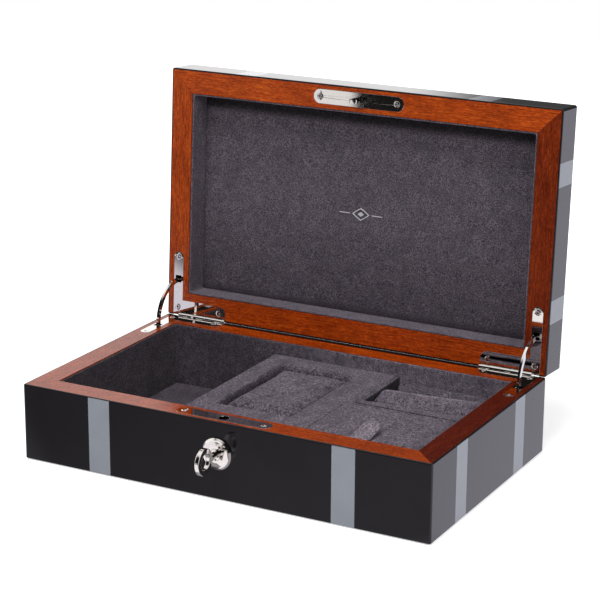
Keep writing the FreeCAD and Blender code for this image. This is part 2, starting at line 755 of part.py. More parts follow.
def key_bow():
    """A round ring in an upright plane, with its rims rounded."""
    body = doc.addObject("PartDesign::Body", "KeyBow")
    sketch = new_sketch(body, "KeyBowSketch", "YZ_Plane")
    for alias in ("key_bow_radius", "key_bow_hole"):
        ring = sketch.addGeometry(circle(Vector(0, 0, 0), num(alias)))
        constrain(sketch, "Coincident", ring, 3, -1, 1)
        drive(sketch, alias, "Radius", ring, num(alias))
    blank = pad(body, "KeyBowPad", sketch, "key_bow_thick", symmetric=True)
    fillet = body.newObject("PartDesign::Fillet", "KeyBowRound")
    rims = [
        f"Edge{i}"
        for i, edge in enumerate(blank.Shape.Edges, start=1)
        if edge.Curve.TypeId == "Part::GeomCircle"
    ]
    fillet.Base = (blank, rims)
    fillet.Radius = num("key_bow_round")
    bind(fillet, "Radius", "key_bow_round")
    doc.recompute()
    bind(body, "Placement.Base.y", "key_bow_y")
    bind(body, "Placement.Base.z", "lock_z")
    return body


def key():
    bow_end = "key_bow_y + key_bow_radius"
    collar = rod("y", (bow_end + " - 1.4", "plug_face - 1.4"), KEY_AXIS, "key_radius + 0.8")
    shank = rod("y", (bow_end + " - 1", "key_tip"), KEY_AXIS, "key_radius")
    bit = block(across("bit_half"), ("key_tip - bit_length", "key_tip"),
                ("lock_z - bit_reach", "lock_z - 1"))
    return join([key_bow(), collar, shank, bit])


node(key(), "key")

# ------------------------------------------------------------------- carcasses
# side: turn about Z, axis it faces along, sign of its place on that axis,
# half length along the side, half size across it
SIDES = {
    "front": (0, "y", -1, HALF_X, HALF_Y),
    "back": (180, "y", 1, HALF_X, HALF_Y),
    "left": (270, "x", -1, HALF_Y, HALF_X),
    "right": (90, "x", 1, HALF_Y, HALF_X),
}


def mitre(side, heights):
    """The mitred length of one side: its long edge 2 mm outside, 45 degrees at both ends."""
    angle, axis, sign, along, outward = SIDES[side]
    depth = "(board + 6)"
    wedge = doc.addObject("Part::Wedge", "Mitre")
    bind(wedge, "Ymin", "0")
    bind(wedge, "Ymax", depth)
    bind(wedge, "Xmin", f"-({along}) - 2")
    bind(wedge, "Xmax", f"({along}) + 2")
    bind(wedge, "X2min", f"-({along}) - 2 + {depth}")
    bind(wedge, "X2max", f"({along}) + 2 - {depth}")
    for prefix in ("Z", "Z2"):
        bind(wedge, prefix + "min", heights[0])
        bind(wedge, prefix + "max", heights[1])
    rotation = FreeCAD.Rotation(Vector(0, 0, 1), angle)
    wedge.Placement = FreeCAD.Placement(Vector(0, 0, 0), rotation)
    bind(wedge, "Placement.Base." + axis, f"{sign} * (({outward}) + 2)")
    return wedge


def mitred(ring, heights, label, lid):
    """Four pieces from one ring, so that faces, roundings and pockets meet at the mitres."""
    for side in SIDES:
        node(common(ring, mitre(side, widened(heights, 1))), label % side, lid)


def carcass(prefix, outer, heights, rim, rim_seat, grooves, hardware, lid):
    """Boards and wood rims. rim and rim_seat are height spans."""
    hollow = block(INNER_X, INNER_Y, widened(heights, 5))
    seat = block(RIM_X, RIM_Y, rim_seat)
    boards = cut(outer, hollow, seat, *grooves, *hardware)
    mitred(boards, heights, prefix + "_%s_board", lid)
    rims = cut(block(RIM_X, RIM_Y, rim), hollow, *hardware)
    mitred(rims, rim, prefix + "_rim_%s", lid)


def outside_round(edge, bounds):
    if direction(edge) == "z":
        return num("corner_round")
    box = edge.BoundBox
    at_hinge = box.YMin > 0 and abs(box.ZMin - HINGE_Z) < 1 and direction(edge) == "x"
    return num("hinge_edge_round") if at_hinge else num("edge_round")


def stripe_spans(middle):
    return [about(f"{sign} * {middle}", "stripe / 2") for sign in (-1, 1)]


def skin_spans(half):
    """The outermost bead's depth at both ends of an axis."""
    return [(f"-{half} - 1", f"-{half} + bead"), (f"{half} - bead", f"{half} + 1")]


STRIPES_X, STRIPES_Y = stripe_spans("stripe_mid_x"), stripe_spans("stripe_mid_y")


def side_stripes(heights):
    """Upright stripes on the long sides and on the short sides."""
    long_sides = [block(x, y, heights) for x in STRIPES_X for y in skin_spans(HALF_Y)]
    short_sides = [block(x, y, heights) for y in STRIPES_Y for x in skin_spans(HALF_X)]
    return join(long_sides), join(short_sides)


# Base
BASE_Z = ("0", "base_height")
base_outer = rounded(block(OUTER_X, OUTER_Y, ("felt_thick", "base_height")), outside_round)
base_long, base_short = side_stripes(widened(BASE_Z, 5))
carcass(
    "base", base_outer, BASE_Z,
    rim=("base_height - rim_thick", "base_height"),
    rim_seat=("base_height - rim_thick", "base_height + 5"),
    grooves=[base_long, base_short],
    hardware=[hinge_cuts_base, lock_cuts],
    lid=False,
)
node(common(base_outer, base_long), "base_inlay_long_sides")
node(common(base_outer, base_short), "base_inlay_short_sides")
node(block(INNER_X, INNER_Y, ("felt_thick", "bottom_top")), "base_bottom_panel")
felt = block(shrunk(OUTER_X, "felt_inset"), shrunk(OUTER_Y, "felt_inset"), ("0", "felt_thick"))
node(felt, "base_felt_pad")

# Lid, drawn closed
LID_Z = (LID_LOW, LID_TOP)
lid_outer = rounded(block(OUTER_X, OUTER_Y, LID_Z), outside_round)
lid_long, lid_short = side_stripes(widened(LID_Z, 5))
LATTICE_Z = (LID_TOP + " - bead", LID_TOP + " + 5")
lattice = join(
    [block(x, widened(OUTER_Y, 1), LATTICE_Z) for x in STRIPES_X]
    + [block(widened(OUTER_X, 1), y, LATTICE_Z) for y in STRIPES_Y]
)
carcass(
    "lid", lid_outer, LID_Z,
    rim=(LID_LOW, LID_LOW + " + rim_thick"),
    rim_seat=(LID_LOW + " - 5", LID_LOW + " + rim_thick"),
    grooves=[lid_long, lid_short, lattice],
    hardware=[hinge_cuts_lid, strike_cuts],
    lid=True,
)
node(common(lid_outer, lattice), "lid_inlay_top", lid=True)
node(cut(common(lid_outer, lid_long), lattice), "lid_inlay_long_sides", lid=True)
node(cut(common(lid_outer, lid_short), lattice), "lid_inlay_short_sides", lid=True)
TOP_UNDER = LID_TOP + " - top_thick"
node(cut(block(INNER_X, INNER_Y, (TOP_UNDER, LID_TOP)), lattice), "lid_top_panel", lid=True)


def lining_ring(heights):
    return cut(
        block(INNER_X, INNER_Y, heights),
        block(shrunk(INNER_X, "lining"), shrunk(INNER_Y, "lining"), widened(heights, 1)),
    )


def lower_edges(edge, bounds):
    return num("lid_panel_round") if same(edge.BoundBox.ZMax, bounds.ZMin) else 0


PANEL_UNDER = TOP_UNDER + " - lid_panel_thick"
node(lining_ring((LID_LOW + " + lining_drop", PANEL_UNDER)), "lid_wall_lining", lid=True)
lid_panel = block(shrunk(INNER_X, "lining_play"), shrunk(INNER_Y, "lining_play"),
                  (PANEL_UNDER, TOP_UNDER))
node(rounded(lid_panel, lower_edges), "lid_lining_panel", lid=True)

# --------------------------------------------------------------------- interior
INSERT_Y = across("insert_half")
FLAP_UNDER = "flap_top - flap_thick"
FLAP_REST_Z = (FLAP_UNDER + " - flap_play", "deck_height + 1")

node(lining_ring(("bottom_top", "base_height - lining_drop")), "base_wall_lining")
left_pad = block(
    (INNER_X[0] + " + lining + lining_play", "insert_left - pad_play"),
    INSERT_Y,
    ("bottom_top", "bottom_top + pad_thick"),
)
node(left_pad, "left_floor_pad")


def centre_insert():
    """A covered frame with a deck, and the watch well hung in it."""
    insert_x = ("insert_left", "insert_right")
    well_x, well_y = ("well_left", "well_right"), ("well_front", "well_back")
    full_height = ("bottom_top", "deck_height")
    shell = cut(
        block(insert_x, INSERT_Y, full_height),
        block(shrunk(insert_x, "insert_wall"), shrunk(INSERT_Y, "insert_wall"),
              ("bottom_top - 1", "deck_height - deck_thick")),
    )
    well_box = block(widened(well_x, "well_wall"), widened(well_y, "well_wall"), full_height)
    well = block(well_x, well_y, ("well_floor", "deck_height + 1"))
    flap_rest = block(("flap_left - 0.3", "insert_right + 1"),
                      ("-insert_half - 1", "flap_back + 0.3"), FLAP_REST_Z)
    return cut(join([shell, well_box]), well, flap_rest)


node(centre_insert(), "centre_insert")

TRAY_X = ("tray_left", "tray_right")
BIN_X = shrunk(TRAY_X, "insert_wall")
BIN_Y = ("-insert_half + insert_wall", "bin_back")


def accessory_tray():
    """A bin under the flap and a bay for the ring rolls behind it."""
    above = "deck_height + 1"
    return cut(
        block(TRAY_X, INSERT_Y, ("bottom_top", "deck_height")),
        block(BIN_X, BIN_Y, ("bottom_top + bin_floor", above)),
        block(("tray_left + 1.5", "tray_right - 1.2"), ("bay_front", "insert_half + 1"),
              ("bottom_top + bay_floor", above)),
        block(widened(TRAY_X, 1), ("-insert_half - 1", "flap_back + 0.1"), FLAP_REST_Z),
    )


node(accessory_tray(), "accessory_tray")
bin_pad = block(shrunk(BIN_X, "pad_play"), shrunk(BIN_Y, "pad_play"),
                ("bottom_top + bin_floor", "bottom_top + bin_floor + bin_pad_thick"))
node(bin_pad, "accessory_floor_pad")


def roll(y_span, top, front_round, back_round):
    """A ring roll with its upper front and back edges rounded; 0 leaves one sharp."""
    def upper_edges(edge, bounds):
        if direction(edge) != "x" or not same(edge.BoundBox.ZMin, bounds.ZMax):
            return 0
        return front_round if same(edge.BoundBox.YMin, bounds.YMin) else back_round

    roll_x = ("tray_left + 2.2", "tray_right - 1.7")
    return rounded(block(roll_x, y_span, ("bottom_top + bay_floor", top)), upper_edges)


# label, Y span, top, front rounding, back rounding
ROLLS = [
    ("ring_roll_front", ("bay_front + 0.2", "roll_split_one - roll_gap / 2"),
     "roll_top", 0, 9),
    ("ring_roll_middle", ("roll_split_one + roll_gap / 2", "roll_split_two - roll_gap / 2"),
     "roll_top", 11, 11),
    ("ring_roll_back", ("roll_split_two + roll_gap / 2", "insert_half - 0.2"),
     "roll_top - 1", 6, 0),
]
for label, *roll_sizes in ROLLS:
    node(roll(*roll_sizes), label)

# Flap over the bin, hinged on a fabric strip at its back edge, with a pull tab.
hinge_strip = block(("tray_left + 0.5", "tray_right - 0.4"),
                    ("flap_back + 0.1", "bay_front + 5"), ("deck_height", "flap_top"))
node(hinge_strip, "flap_hinge_strip")


def flap_corners(edge, bounds):
    if direction(edge) != "z":
        return 0
    box = edge.BoundBox
    back_left = same(box.XMin, bounds.XMin) and same(box.YMax, bounds.YMax)
    return num("flap_round") if back_left else num("flap_corner")


flap = block(("flap_left", "tray_right - 0.2"), ("-insert_half + 0.2", "flap_back"),
             (FLAP_UNDER, "flap_top"))
node(rounded(flap, flap_corners), "flap_panel")


def pull_tab():
    """A strip with a round back end, drawn flat from its front edge and then tilted up."""
    heights, round_y = ("0", "tab_thick"), "tab_length - tab_width / 2"
    tab = join([
        block(across("tab_width / 2"), ("0", round_y), heights),
        rod("z", heights, ("0", round_y), "tab_width / 2"),
    ])
    turn(tab, Vector(1, 0, 0), "tab_rise")
    bind(tab, "Placement.Base.x", "tab_mid")
    bind(tab, "Placement.Base.y", "-insert_half + tab_inset")
    bind(tab, "Placement.Base.z", "flap_top")
    return tab


node(pull_tab(), "flap_pull_tab")


def pillow_shape(spans, radius):
    """A block with the edges along X rounded."""
    return rounded(block(*spans), lambda edge, bounds: radius if direction(edge) == "x" else 0)


# Watch pillow: a padded cover round a firm core. It lifts out of the well.
PILLOW = [
    shrunk(("well_left", "well_right"), "pillow_play"),
    shrunk(("well_front", "well_back"), "pillow_play"),
    ("well_floor + pillow_lift", "pillow_top"),
]
pillow = pillow_shape(PILLOW, num("pillow_round"))
pillow_core = pillow_shape(
    [shrunk(span, "pillow_skin") for span in PILLOW], num("pillow_round") - num("pillow_skin")
)
node(pillow_core, "watch_pillow_core")
node(cut(pillow, pillow_core), "watch_pillow_cover")

# ----------------------------------------------------------------------- export
doc.recompute()
bad = [obj.Name for obj in doc.Objects if "Invalid" in obj.State or "Error" in obj.State]
if bad:
    raise RuntimeError("failed objects: " + ", ".join(bad))
labels = [obj.Label for obj in NODES]
if len(set(labels)) != len(labels) or len(labels) > 60:
    raise RuntimeError(f"node labels: {len(set(labels))} of {len(labels)}")
for obj in NODES:
    shape = obj.Shape
    if shape.isNull() or not shape.isValid() or not shape.Solids:
        raise RuntimeError("bad shape: " + obj.Label)
os.makedirs("parts", exist_ok=True)
for obj in NODES:
    obj.Shape.exportStep(f"parts/{obj.Label}.step")
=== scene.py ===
"""Watch and jewellery box in black lacquer and mahogany, lined with suede, its lid standing open.

The frame has x to the right, y to the back and z up. The box is centred on x = 0 and y = 0,
rests near z = 0, and its lid hinges along the back edge. Shapes are in millimetres; the
floor, the lights and the camera are in metres. Lid pieces are drawn closed, then turned open.
"""
import math

import bmesh
import bpy
import numpy as np
from mathutils import Matrix, Vector


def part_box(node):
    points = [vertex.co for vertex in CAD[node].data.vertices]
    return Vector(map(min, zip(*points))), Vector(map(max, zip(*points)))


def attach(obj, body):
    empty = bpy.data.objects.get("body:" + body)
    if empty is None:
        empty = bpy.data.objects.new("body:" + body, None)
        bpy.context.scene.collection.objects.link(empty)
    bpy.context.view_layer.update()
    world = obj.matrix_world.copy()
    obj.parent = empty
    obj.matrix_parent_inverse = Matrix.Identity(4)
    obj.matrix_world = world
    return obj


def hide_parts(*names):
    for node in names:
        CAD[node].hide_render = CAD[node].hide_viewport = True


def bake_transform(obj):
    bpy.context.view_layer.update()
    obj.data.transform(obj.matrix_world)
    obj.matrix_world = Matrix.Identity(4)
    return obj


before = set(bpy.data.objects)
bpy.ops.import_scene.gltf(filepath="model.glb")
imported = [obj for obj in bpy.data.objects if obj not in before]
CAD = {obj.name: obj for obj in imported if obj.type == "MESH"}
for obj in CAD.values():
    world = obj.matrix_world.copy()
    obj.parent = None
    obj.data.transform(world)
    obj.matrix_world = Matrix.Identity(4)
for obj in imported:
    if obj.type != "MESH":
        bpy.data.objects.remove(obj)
scene = bpy.context.scene
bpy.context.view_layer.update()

MM = 0.001  # metres in a millimetre

# Lid
OPEN = math.radians(93.5)
HINGE_Y, HINGE_Z = 85.0, 50.1  # hinge axis, which is also the height of the seam
LID_DROP = 0.3  # the soft lid pieces are drawn this much too high in the closed frame

# Linings
HALF_X, HALF_Y = 124.0, 69.0  # outer faces of the wall linings
LINING = 1.15  # thickness of the wall linings
LID_PANEL_GAP = 0.2  # between the lid panel and the line of the wall linings

# Flap and its fabric hinge
FLAP_CREASE_Y = 5.05
FABRIC_BACK_Y = 12.7  # where a painted shade line runs behind the fabric hinge

# Ring rolls
ROLL_X0, ROLL_X1, ROLL_BASE = 46.1, 121.6, 10.0


# ---------------------------------------------------------------- number helpers
def smooth_step(start, end, value):
    t = np.clip((np.asarray(value, float) - start) / (end - start), 0, 1)
    return t * t * (3 - 2 * t)


def bell(distance, width):
    return math.exp(-((distance / width) ** 2))


def wobble(points, size, seed, terms=9):
    """A smooth undulation, roughly between -1 and 1; size is its typical wavelength in mm."""
    rng = np.random.RandomState(seed)
    points = np.asarray(points, float)
    out = np.zeros(len(points))
    for _ in range(terms):
        heading = rng.normal(size=3)
        heading /= np.linalg.norm(heading)
        pitch = (0.6 + 0.9 * rng.rand()) / size
        weight = 0.6 + 0.8 * rng.rand()
        phase = rng.rand() * 6.283
        out += weight * np.sin(2 * math.pi * (points @ heading) * pitch + phase)
    return out / (0.75 * terms)


def ripples(points, seed, *waves):
    """Wobbles added together; each wave is (wavelength, height) and takes the next seed."""
    return sum(high * wobble(points, size, seed + i) for i, (size, high) in enumerate(waves))


def opened(points):
    """Points drawn with the lid closed, turned to the open rest pose."""
    points = np.asarray(points, float)
    y, z = points[:, 1] - HINGE_Y, points[:, 2] - LID_DROP - HINGE_Z
    cos, sin = math.cos(-OPEN), math.sin(-OPEN)
    return np.column_stack([points[:, 0], HINGE_Y + y * cos - z * sin, HINGE_Z + y * sin + z * cos])


# ------------------------------------------------------------------ mesh helpers
def arrays(mesh, scale):
    verts = np.empty(len(mesh.vertices) * 3)
    mesh.vertices.foreach_get("co", verts)
    return verts.reshape(-1, 3) * scale, [tuple(p.vertices) for p in mesh.polygons]


def cad_mesh(node):
    return arrays(CAD[node].data, 1000.0)


def raw_mesh(name, verts, faces):
    mesh = bpy.data.meshes.new(name)
    mesh.from_pydata([tuple(v) for v in verts], [], [tuple(int(i) for i in f) for f in faces])
    mesh.update()
    return mesh


def edit(mesh, change):
    """Runs one bmesh change on a mesh."""
    bm = bmesh.new()
    bm.from_mesh(mesh)
    change(bm)
    bm.to_mesh(mesh)
    bm.free()


def linked(name, data):
    obj = bpy.data.objects.new(name, data)
    scene.collection.objects.link(obj)
    return obj


def piece(name, verts, faces, body, look, stands_for=(), slot="suede", subdiv=0, smooth=True):
    mesh = raw_mesh(name, np.asarray(verts, float) * MM, faces)
    mesh.validate()
    mesh.update()
    edit(mesh, lambda bm: bmesh.ops.recalc_face_normals(bm, faces=bm.faces))
    mesh.polygons.foreach_set("use_smooth", [smooth] * len(mesh.polygons))
    mesh.update()
    obj = linked(name, mesh)
    mesh.materials.append(look)
    if subdiv:
        modifier = obj.modifiers.new("Subdivision", "SUBSURF")
        modifier.levels = modifier.render_levels = subdiv
    if body:
        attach(obj, body)
    if stands_for:
        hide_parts(*stands_for)
    return obj


def welded(verts, faces, dist=0.002):
    """Merges points closer than dist mm."""
    mesh = raw_mesh("tmp", verts, faces)
    edit(mesh, lambda bm: bmesh.ops.remove_doubles(bm, verts=bm.verts, dist=dist))
    out = arrays(mesh, 1.0)
    bpy.data.meshes.remove(mesh)
    return out


def evaluated(obj, scale):
    """The arrays of an object after its modifiers; the object is removed."""
    graph = bpy.context.evaluated_depsgraph_get()
    got = bpy.data.meshes.new_from_object(obj.evaluated_get(graph), depsgraph=graph)
    out = arrays(got, scale)
    source = obj.data
    bpy.data.objects.remove(obj)
    bpy.data.meshes.remove(source)
    bpy.data.meshes.remove(got)
    return out


def voxelised(verts, faces, voxel):
    """An even closed mesh round a closed shape; voxel in mm."""
    obj = linked("tmp", raw_mesh("tmp", *welded(verts, faces)))
    remesh = obj.modifiers.new("r", "REMESH")
    remesh.mode = "VOXEL"
    remesh.voxel_size = voxel
    remesh.adaptivity = 0.0
    bpy.context.view_layer.update()
    return evaluated(obj, 1.0)


def relax(verts, faces, rounds):
    """Laplacian smoothing, which rounds edges the way cloth over a board does."""
    pairs = set()
    for face in faces:
        for start, end in zip(face, face[1:] + face[:1]):
            pairs.add((min(start, end), max(start, end)))
    first, second = np.array(sorted(pairs)).T
    count = np.zeros(len(verts))
    np.add.at(count, first, 1)
    np.add.at(count, second, 1)
    verts = verts.copy()
    for _ in range(rounds):
        total = np.zeros_like(verts)
        np.add.at(total, first, verts[second])
        np.add.at(total, second, verts[first])
        verts = verts + 0.5 * (total / np.maximum(count, 1)[:, None] - verts)
    return verts


def normals_of(verts, faces):
    mesh = raw_mesh("tmp", verts, faces)
    normals = np.empty(len(verts) * 3)
    mesh.vertices.foreach_get("normal", normals)
    bpy.data.meshes.remove(mesh)
    return normals.reshape(-1, 3)


def cloth_puff(verts, faces, pins, pressure, frames, cap, scale):
    """Swells a closed cloth skin by simulation.

    pins marks held points and cap is the furthest a point may move, in mm. The simulation
    runs at scale times life size, where the solver behaves, and the result is back in mm.
    """
    obj = linked("tmp", raw_mesh("tmp", verts * MM * scale, faces))
    group = obj.vertex_groups.new(name="pin")
    group.add([int(i) for i in np.nonzero(pins)[0]], 1.0, "REPLACE")
    modifier = obj.modifiers.new("Cloth", "CLOTH")
    cloth = modifier.settings
    cloth.quality = 6
    cloth.mass = 0.25
    cloth.tension_stiffness = cloth.compression_stiffness = 8.0
    cloth.shear_stiffness = 8.0
    cloth.bending_stiffness = 0.4
    cloth.use_pressure = True
    cloth.uniform_pressure_force = pressure
    cloth.effector_weights.gravity = 0.0
    cloth.vertex_group_mass = "pin"
    modifier.collision_settings.use_collision = False
    modifier.collision_settings.use_self_collision = False
    modifier.point_cache.frame_start = 1
    modifier.point_cache.frame_end = frames
    for f in range(1, frames + 1):
        scene.frame_set(f)
    puffed = evaluated(obj, 1000.0 / scale)[0]
    scene.frame_set(1)
    moved = puffed - verts
    length = np.linalg.norm(moved, axis=1)
    return verts + moved * np.minimum(1, cap / np.maximum(length, 1e-9))[:, None]


def loft(sections):
    """A closed skin through rings of the same number of points, capped by fans at both ends."""
    count = len(sections[0])
    last = (len(sections) - 1) * count
    verts = [point for ring in sections for point in ring]
    faces = []
    for base in range(0, last, count):
        for j in range(count):
            here, beside = base + j, base + (j + 1) % count
            faces.append((here, beside, beside + count, here + count))
    for base, ring in ((0, sections[0]), (last, sections[-1])):
        verts.append(np.mean(np.array(ring), axis=0))
        hub = len(verts) - 1
        for j in range(count):
            faces.append((base + j, base + (j + 1) % count, hub))
    return np.array(verts, float), faces


def shell_faces(rows, cols):
    """Faces of a closed sheet: a grid of upper points, then the same grid of lower points."""
    under = rows * cols
    faces = []
    for i in range(rows - 1):
        for j in range(cols - 1):
            here = i * cols + j
            quad = (here, here + cols, here + cols + 1, here + 1)
            faces += [quad, tuple(quad[q] + under for q in (0, 3, 2, 1))]
    for i in range(rows - 1):
        first = i * cols
        last = first + cols - 1
        faces.append((first, first + under, first + cols + under, first + cols))
        faces.append((last, last + cols, last + cols + under, last + under))
    for j in range(cols - 1):
        last = (rows - 1) * cols + j
        faces.append((j, j + 1, j + 1 + under, j + under))
        faces.append((last, last + under, last + 1 + under, last + 1))
    return faces


def slab(box, cell, edge, corner=1.5):
    """A closed board with rolled upper edges and rounded corners, gridded at about cell mm.

    The upper points come first; their number is returned last.
    """
    x0, x1, y0, y1, z0, z1 = box

    def spaced(start, end):
        count = max(6, int((end - start) / cell))
        inner = np.linspace(start + edge, end - edge, count)
        turns = np.linspace(0, math.pi / 2, 5)[:-1]
        rim = [start + edge * (1 - math.cos(t)) for t in turns]
        return np.array(rim + list(inner) + [start + end - r for r in rim[::-1]])

    columns, rows = spaced(x0, x1), spaced(y0, y1)
    grid_x, grid_y = np.meshgrid(columns, rows, indexing="ij")
    side_x = np.minimum(grid_x - x0, x1 - grid_x)
    side_y = np.minimum(grid_y - y0, y1 - grid_y)
    # the rolled edge
    near = np.clip(1 - np.minimum(side_x, side_y) / edge, 0, 1)
    depth = edge * (1 - np.sqrt(np.maximum(0, 1 - near * near)))
    top = z1 - depth * min(1.0, (z1 - z0) * 0.8 / edge)
    # the corners, pulled in from a square to a circle
    u = (corner - np.clip(side_x, 0, corner)) / corner
    v = (corner - np.clip(side_y, 0, corner)) / corner
    reach = np.sqrt(u * u + v * v)
    pull = np.where(reach > 1e-9, np.maximum(u, v) / np.maximum(reach, 1e-9), 1.0)
    in_x, in_y = corner * (1 - u * pull), corner * (1 - v * pull)
    round_x = np.where(grid_x < (x0 + x1) / 2, x0 + in_x, x1 - in_x)
    round_y = np.where(grid_y < (y0 + y1) / 2, y0 + in_y, y1 - in_y)
    plan = [np.where(u <= 0, grid_x, round_x).ravel(), np.where(v <= 0, grid_y, round_y).ravel()]
    count = top.size
    upper = np.column_stack([*plan, top.ravel()])
    lower = np.column_stack([*plan, np.full(count, z0)])
    return np.vstack([upper, lower]), shell_faces(len(columns), len(rows)), count


# -------------------------------------------------------------- shader helpers
MID_NOISE = (0.3, 0.7)  # the span in which most noise values lie


class Shader:
    """A short way to write a node tree."""

    def __init__(self, tree):
        self.tree = tree
        tree.nodes.clear()

    def node(self, kind, inputs=None, **props):
        node = self.tree.nodes.new(kind)
        for key, value in props.items():
            setattr(node, key, value)
        self.fill(node, inputs or {})
        return node

    def fill(self, node, inputs):
        for key, value in inputs.items():
            self.put(node.inputs[key], value)

    def put(self, socket, value):
        if isinstance(value, bpy.types.NodeSocket):
            self.tree.links.new(value, socket)
        elif isinstance(value, bpy.types.Node):
            self.tree.links.new(value.outputs[0], socket)
        else:
            socket.default_value = value

    def math(self, operation, a, b=0.0):
        return self.node("ShaderNodeMath", {0: a, 1: b, 2: 0.0}, operation=operation).outputs[0]

    def mul(self, a, b):
        return self.math("MULTIPLY", a, b)

    def add(self, a, b):
        return self.math("ADD", a, b)

    def sub(self, a, b):
        return self.math("SUBTRACT", a, b)

    def off(self, value, centre):
        """Distance from a centre line."""
        return self.math("ABSOLUTE", self.sub(value, centre))

    def vmath(self, operation, a, b):
        second = "Scale" if operation == "SCALE" else 1
        return self.node("ShaderNodeVectorMath", {0: a, second: b}, operation=operation).outputs[0]

    def split(self, vector):
        return tuple(self.node("ShaderNodeSeparateXYZ", {0: vector}).outputs)

    def noise(self, vector, scale=1.0, detail=2.0, rough=0.5, warp=0.0, stretch=None):
        if stretch:
            vector = self.vmath("MULTIPLY", vector, stretch)
        inputs = {"Vector": vector, "Scale": scale, "Detail": detail, "Roughness": rough}
        inputs["Distortion"] = warp
        return self.node("ShaderNodeTexNoise", inputs, normalize=True).outputs[0]

    def remap(self, value, to, over=MID_NOISE):
        """A smooth, clamped step: the span over is carried to the span to."""
        inputs = {"Value": value, "From Min": over[0], "From Max": over[1]}
        inputs.update({"To Min": to[0], "To Max": to[1]})
        kind = "ShaderNodeMapRange"
        return self.node(kind, inputs, interpolation_type="SMOOTHSTEP", clamp=True).outputs[0]

    def ramp(self, fac, stops):
        """Colours by value; stops are (position, colour)."""
        node = self.node("ShaderNodeValToRGB", {"Fac": fac})
        elements = node.color_ramp.elements
        while len(elements) < len(stops):
            elements.new(0.5)
        for element, (position, colour) in zip(elements, stops):
            element.position = position
            element.color = (*colour, 1.0)
        return node.outputs[0]

    def mix(self, fac, first, second):
        node = self.node("ShaderNodeMix", data_type="RGBA", blend_type="MIX")
        self.put(node.inputs["Factor"], fac)
        sockets = [socket for socket in node.inputs if socket.type == "RGBA"]
        for socket, colour in zip(sockets, (first, second)):
            self.put(socket, (*colour, 1.0) if isinstance(colour, tuple) else colour)
        return [socket for socket in node.outputs if socket.type == "RGBA"][0]

    def tint(self, colour, factor):
        """colour times a grey value."""
        return self.vmath("SCALE", colour, factor)

    def bump(self, height, strength, distance, normal=None):
        inputs = {"Height": height, "Strength": strength, "Distance": distance}
        if normal is not None:
            inputs["Normal"] = normal
        return self.node("ShaderNodeBump", inputs).outputs[0]


def material(name, viewport):
    """A material with a Principled shader: (material, shader, principled node, place in mm)."""
    mat = bpy.data.materials.new(name)
    mat.use_nodes = True
    mat.diffuse_color = (*viewport, 1.0)
    sh = Shader(mat.node_tree)
    bsdf = sh.node("ShaderNodeBsdfPrincipled")
    sh.node("ShaderNodeOutputMaterial", {0: bsdf})
    place = sh.tint(sh.node("ShaderNodeTexCoord").outputs["Object"], 1000.0)
    return mat, sh, bsdf, place


def closed_place(sh, place):
    """The place of a point of the open lid, read with the lid closed."""
    inputs = {"Vector": place, "Center": (0.0, HINGE_Y, HINGE_Z)}
    inputs.update({"Axis": (1.0, 0.0, 0.0), "Angle": OPEN})
    return sh.node("ShaderNodeVectorRotate", inputs, rotation_type="AXIS_ANGLE").outputs[0]


def times(colour, factors):
    return tuple(a * b for a, b in zip(colour, factors))


# ------------------------------------------------------------------- suede
def suede(name, seed, nap, base=(0.066, 0.056, 0.068), gain=1.0, crush=1.0, sheen=0.20,
          flat=True, shade=None):
    """Napped suede: blotches of nap, a fibre grain, sheen at grazing angles and a soft bump.

    nap stretches the brush strokes along x, y and z, gain is the brightness and crush the
    strength of the blotches. flat is for level pieces. shade paints light and shade by place.
    """
    mat, sh, bsdf, place = material(name, base)
    moved = sh.vmath("ADD", place, (seed, seed * 0.7, -seed))
    tuft = sh.vmath("MULTIPLY", moved, (1.0, 0.60 if flat else 1.0, 1.0))
    along = (0.42 + nap[0] * 0.2, 0.42 + nap[1] * 0.7, 0.42 + nap[2])
    blotch = sh.noise(tuft, scale=0.045, detail=3.0, rough=0.55, warp=0.6)
    patch = sh.noise(tuft, stretch=(0.15, 0.15, 0.13), detail=4.0, rough=0.65, warp=0.5)
    stroke = sh.noise(tuft, stretch=along, detail=4.0, rough=0.7, warp=0.3)
    fibre = sh.noise(tuft, scale=0.98 if flat else 1.35, detail=3.0, rough=0.8)
    fine = sh.noise(tuft, scale=2.6 if flat else 3.2, detail=2.0, rough=0.7)
    broad = sh.mul(
        sh.remap(blotch, to=(1 - 0.08 * crush, 1 + 0.09 * crush)),
        sh.remap(patch, to=(1 - 0.15 * crush, 1 + 0.18 * crush)),
    )
    brushed = sh.remap(stroke, over=(0.28, 0.72), to=(1 - 0.25 * crush, 1 + 0.31 * crush))
    grain = sh.mul(sh.remap(fibre, to=(0.16, 2.02)), sh.remap(fine, to=(0.66, 1.38)))
    value = sh.mul(sh.mul(broad, sh.mul(brushed, grain)), gain)
    if shade:
        value = sh.mul(value, shade(sh, *sh.split(place)))
    cool = times(base, (0.98, 0.985, 1.02))
    warm = times(base, (1.03, 1.0, 0.99))
    height = sh.add(sh.mul(fibre, 0.6), sh.mul(fine, 0.35))
    brush_bump = sh.bump(stroke, strength=0.45, distance=0.0012)
    sh.fill(bsdf, {
        "Base Color": sh.tint(sh.mix(sh.remap(patch, to=(0.0, 1.0)), cool, warm), value),
        "Roughness": sh.remap(fibre, over=(0.2, 0.8), to=(0.86, 1.0)),
        "Specular IOR Level": 0.12,
        "Sheen Weight": sheen,
        "Sheen Roughness": 0.42,
        "Sheen Tint": (0.62, 0.57, 0.64, 1),
        "Normal": sh.bump(height, strength=0.7, distance=0.0007, normal=brush_bump),
    })
    return mat


def wall_shade(sh, x, y, z):
    """Painted shade: the base walls grow lighter from left to right."""
    return sh.remap(x, over=(-90.0, 40.0), to=(0.50, 1.15))


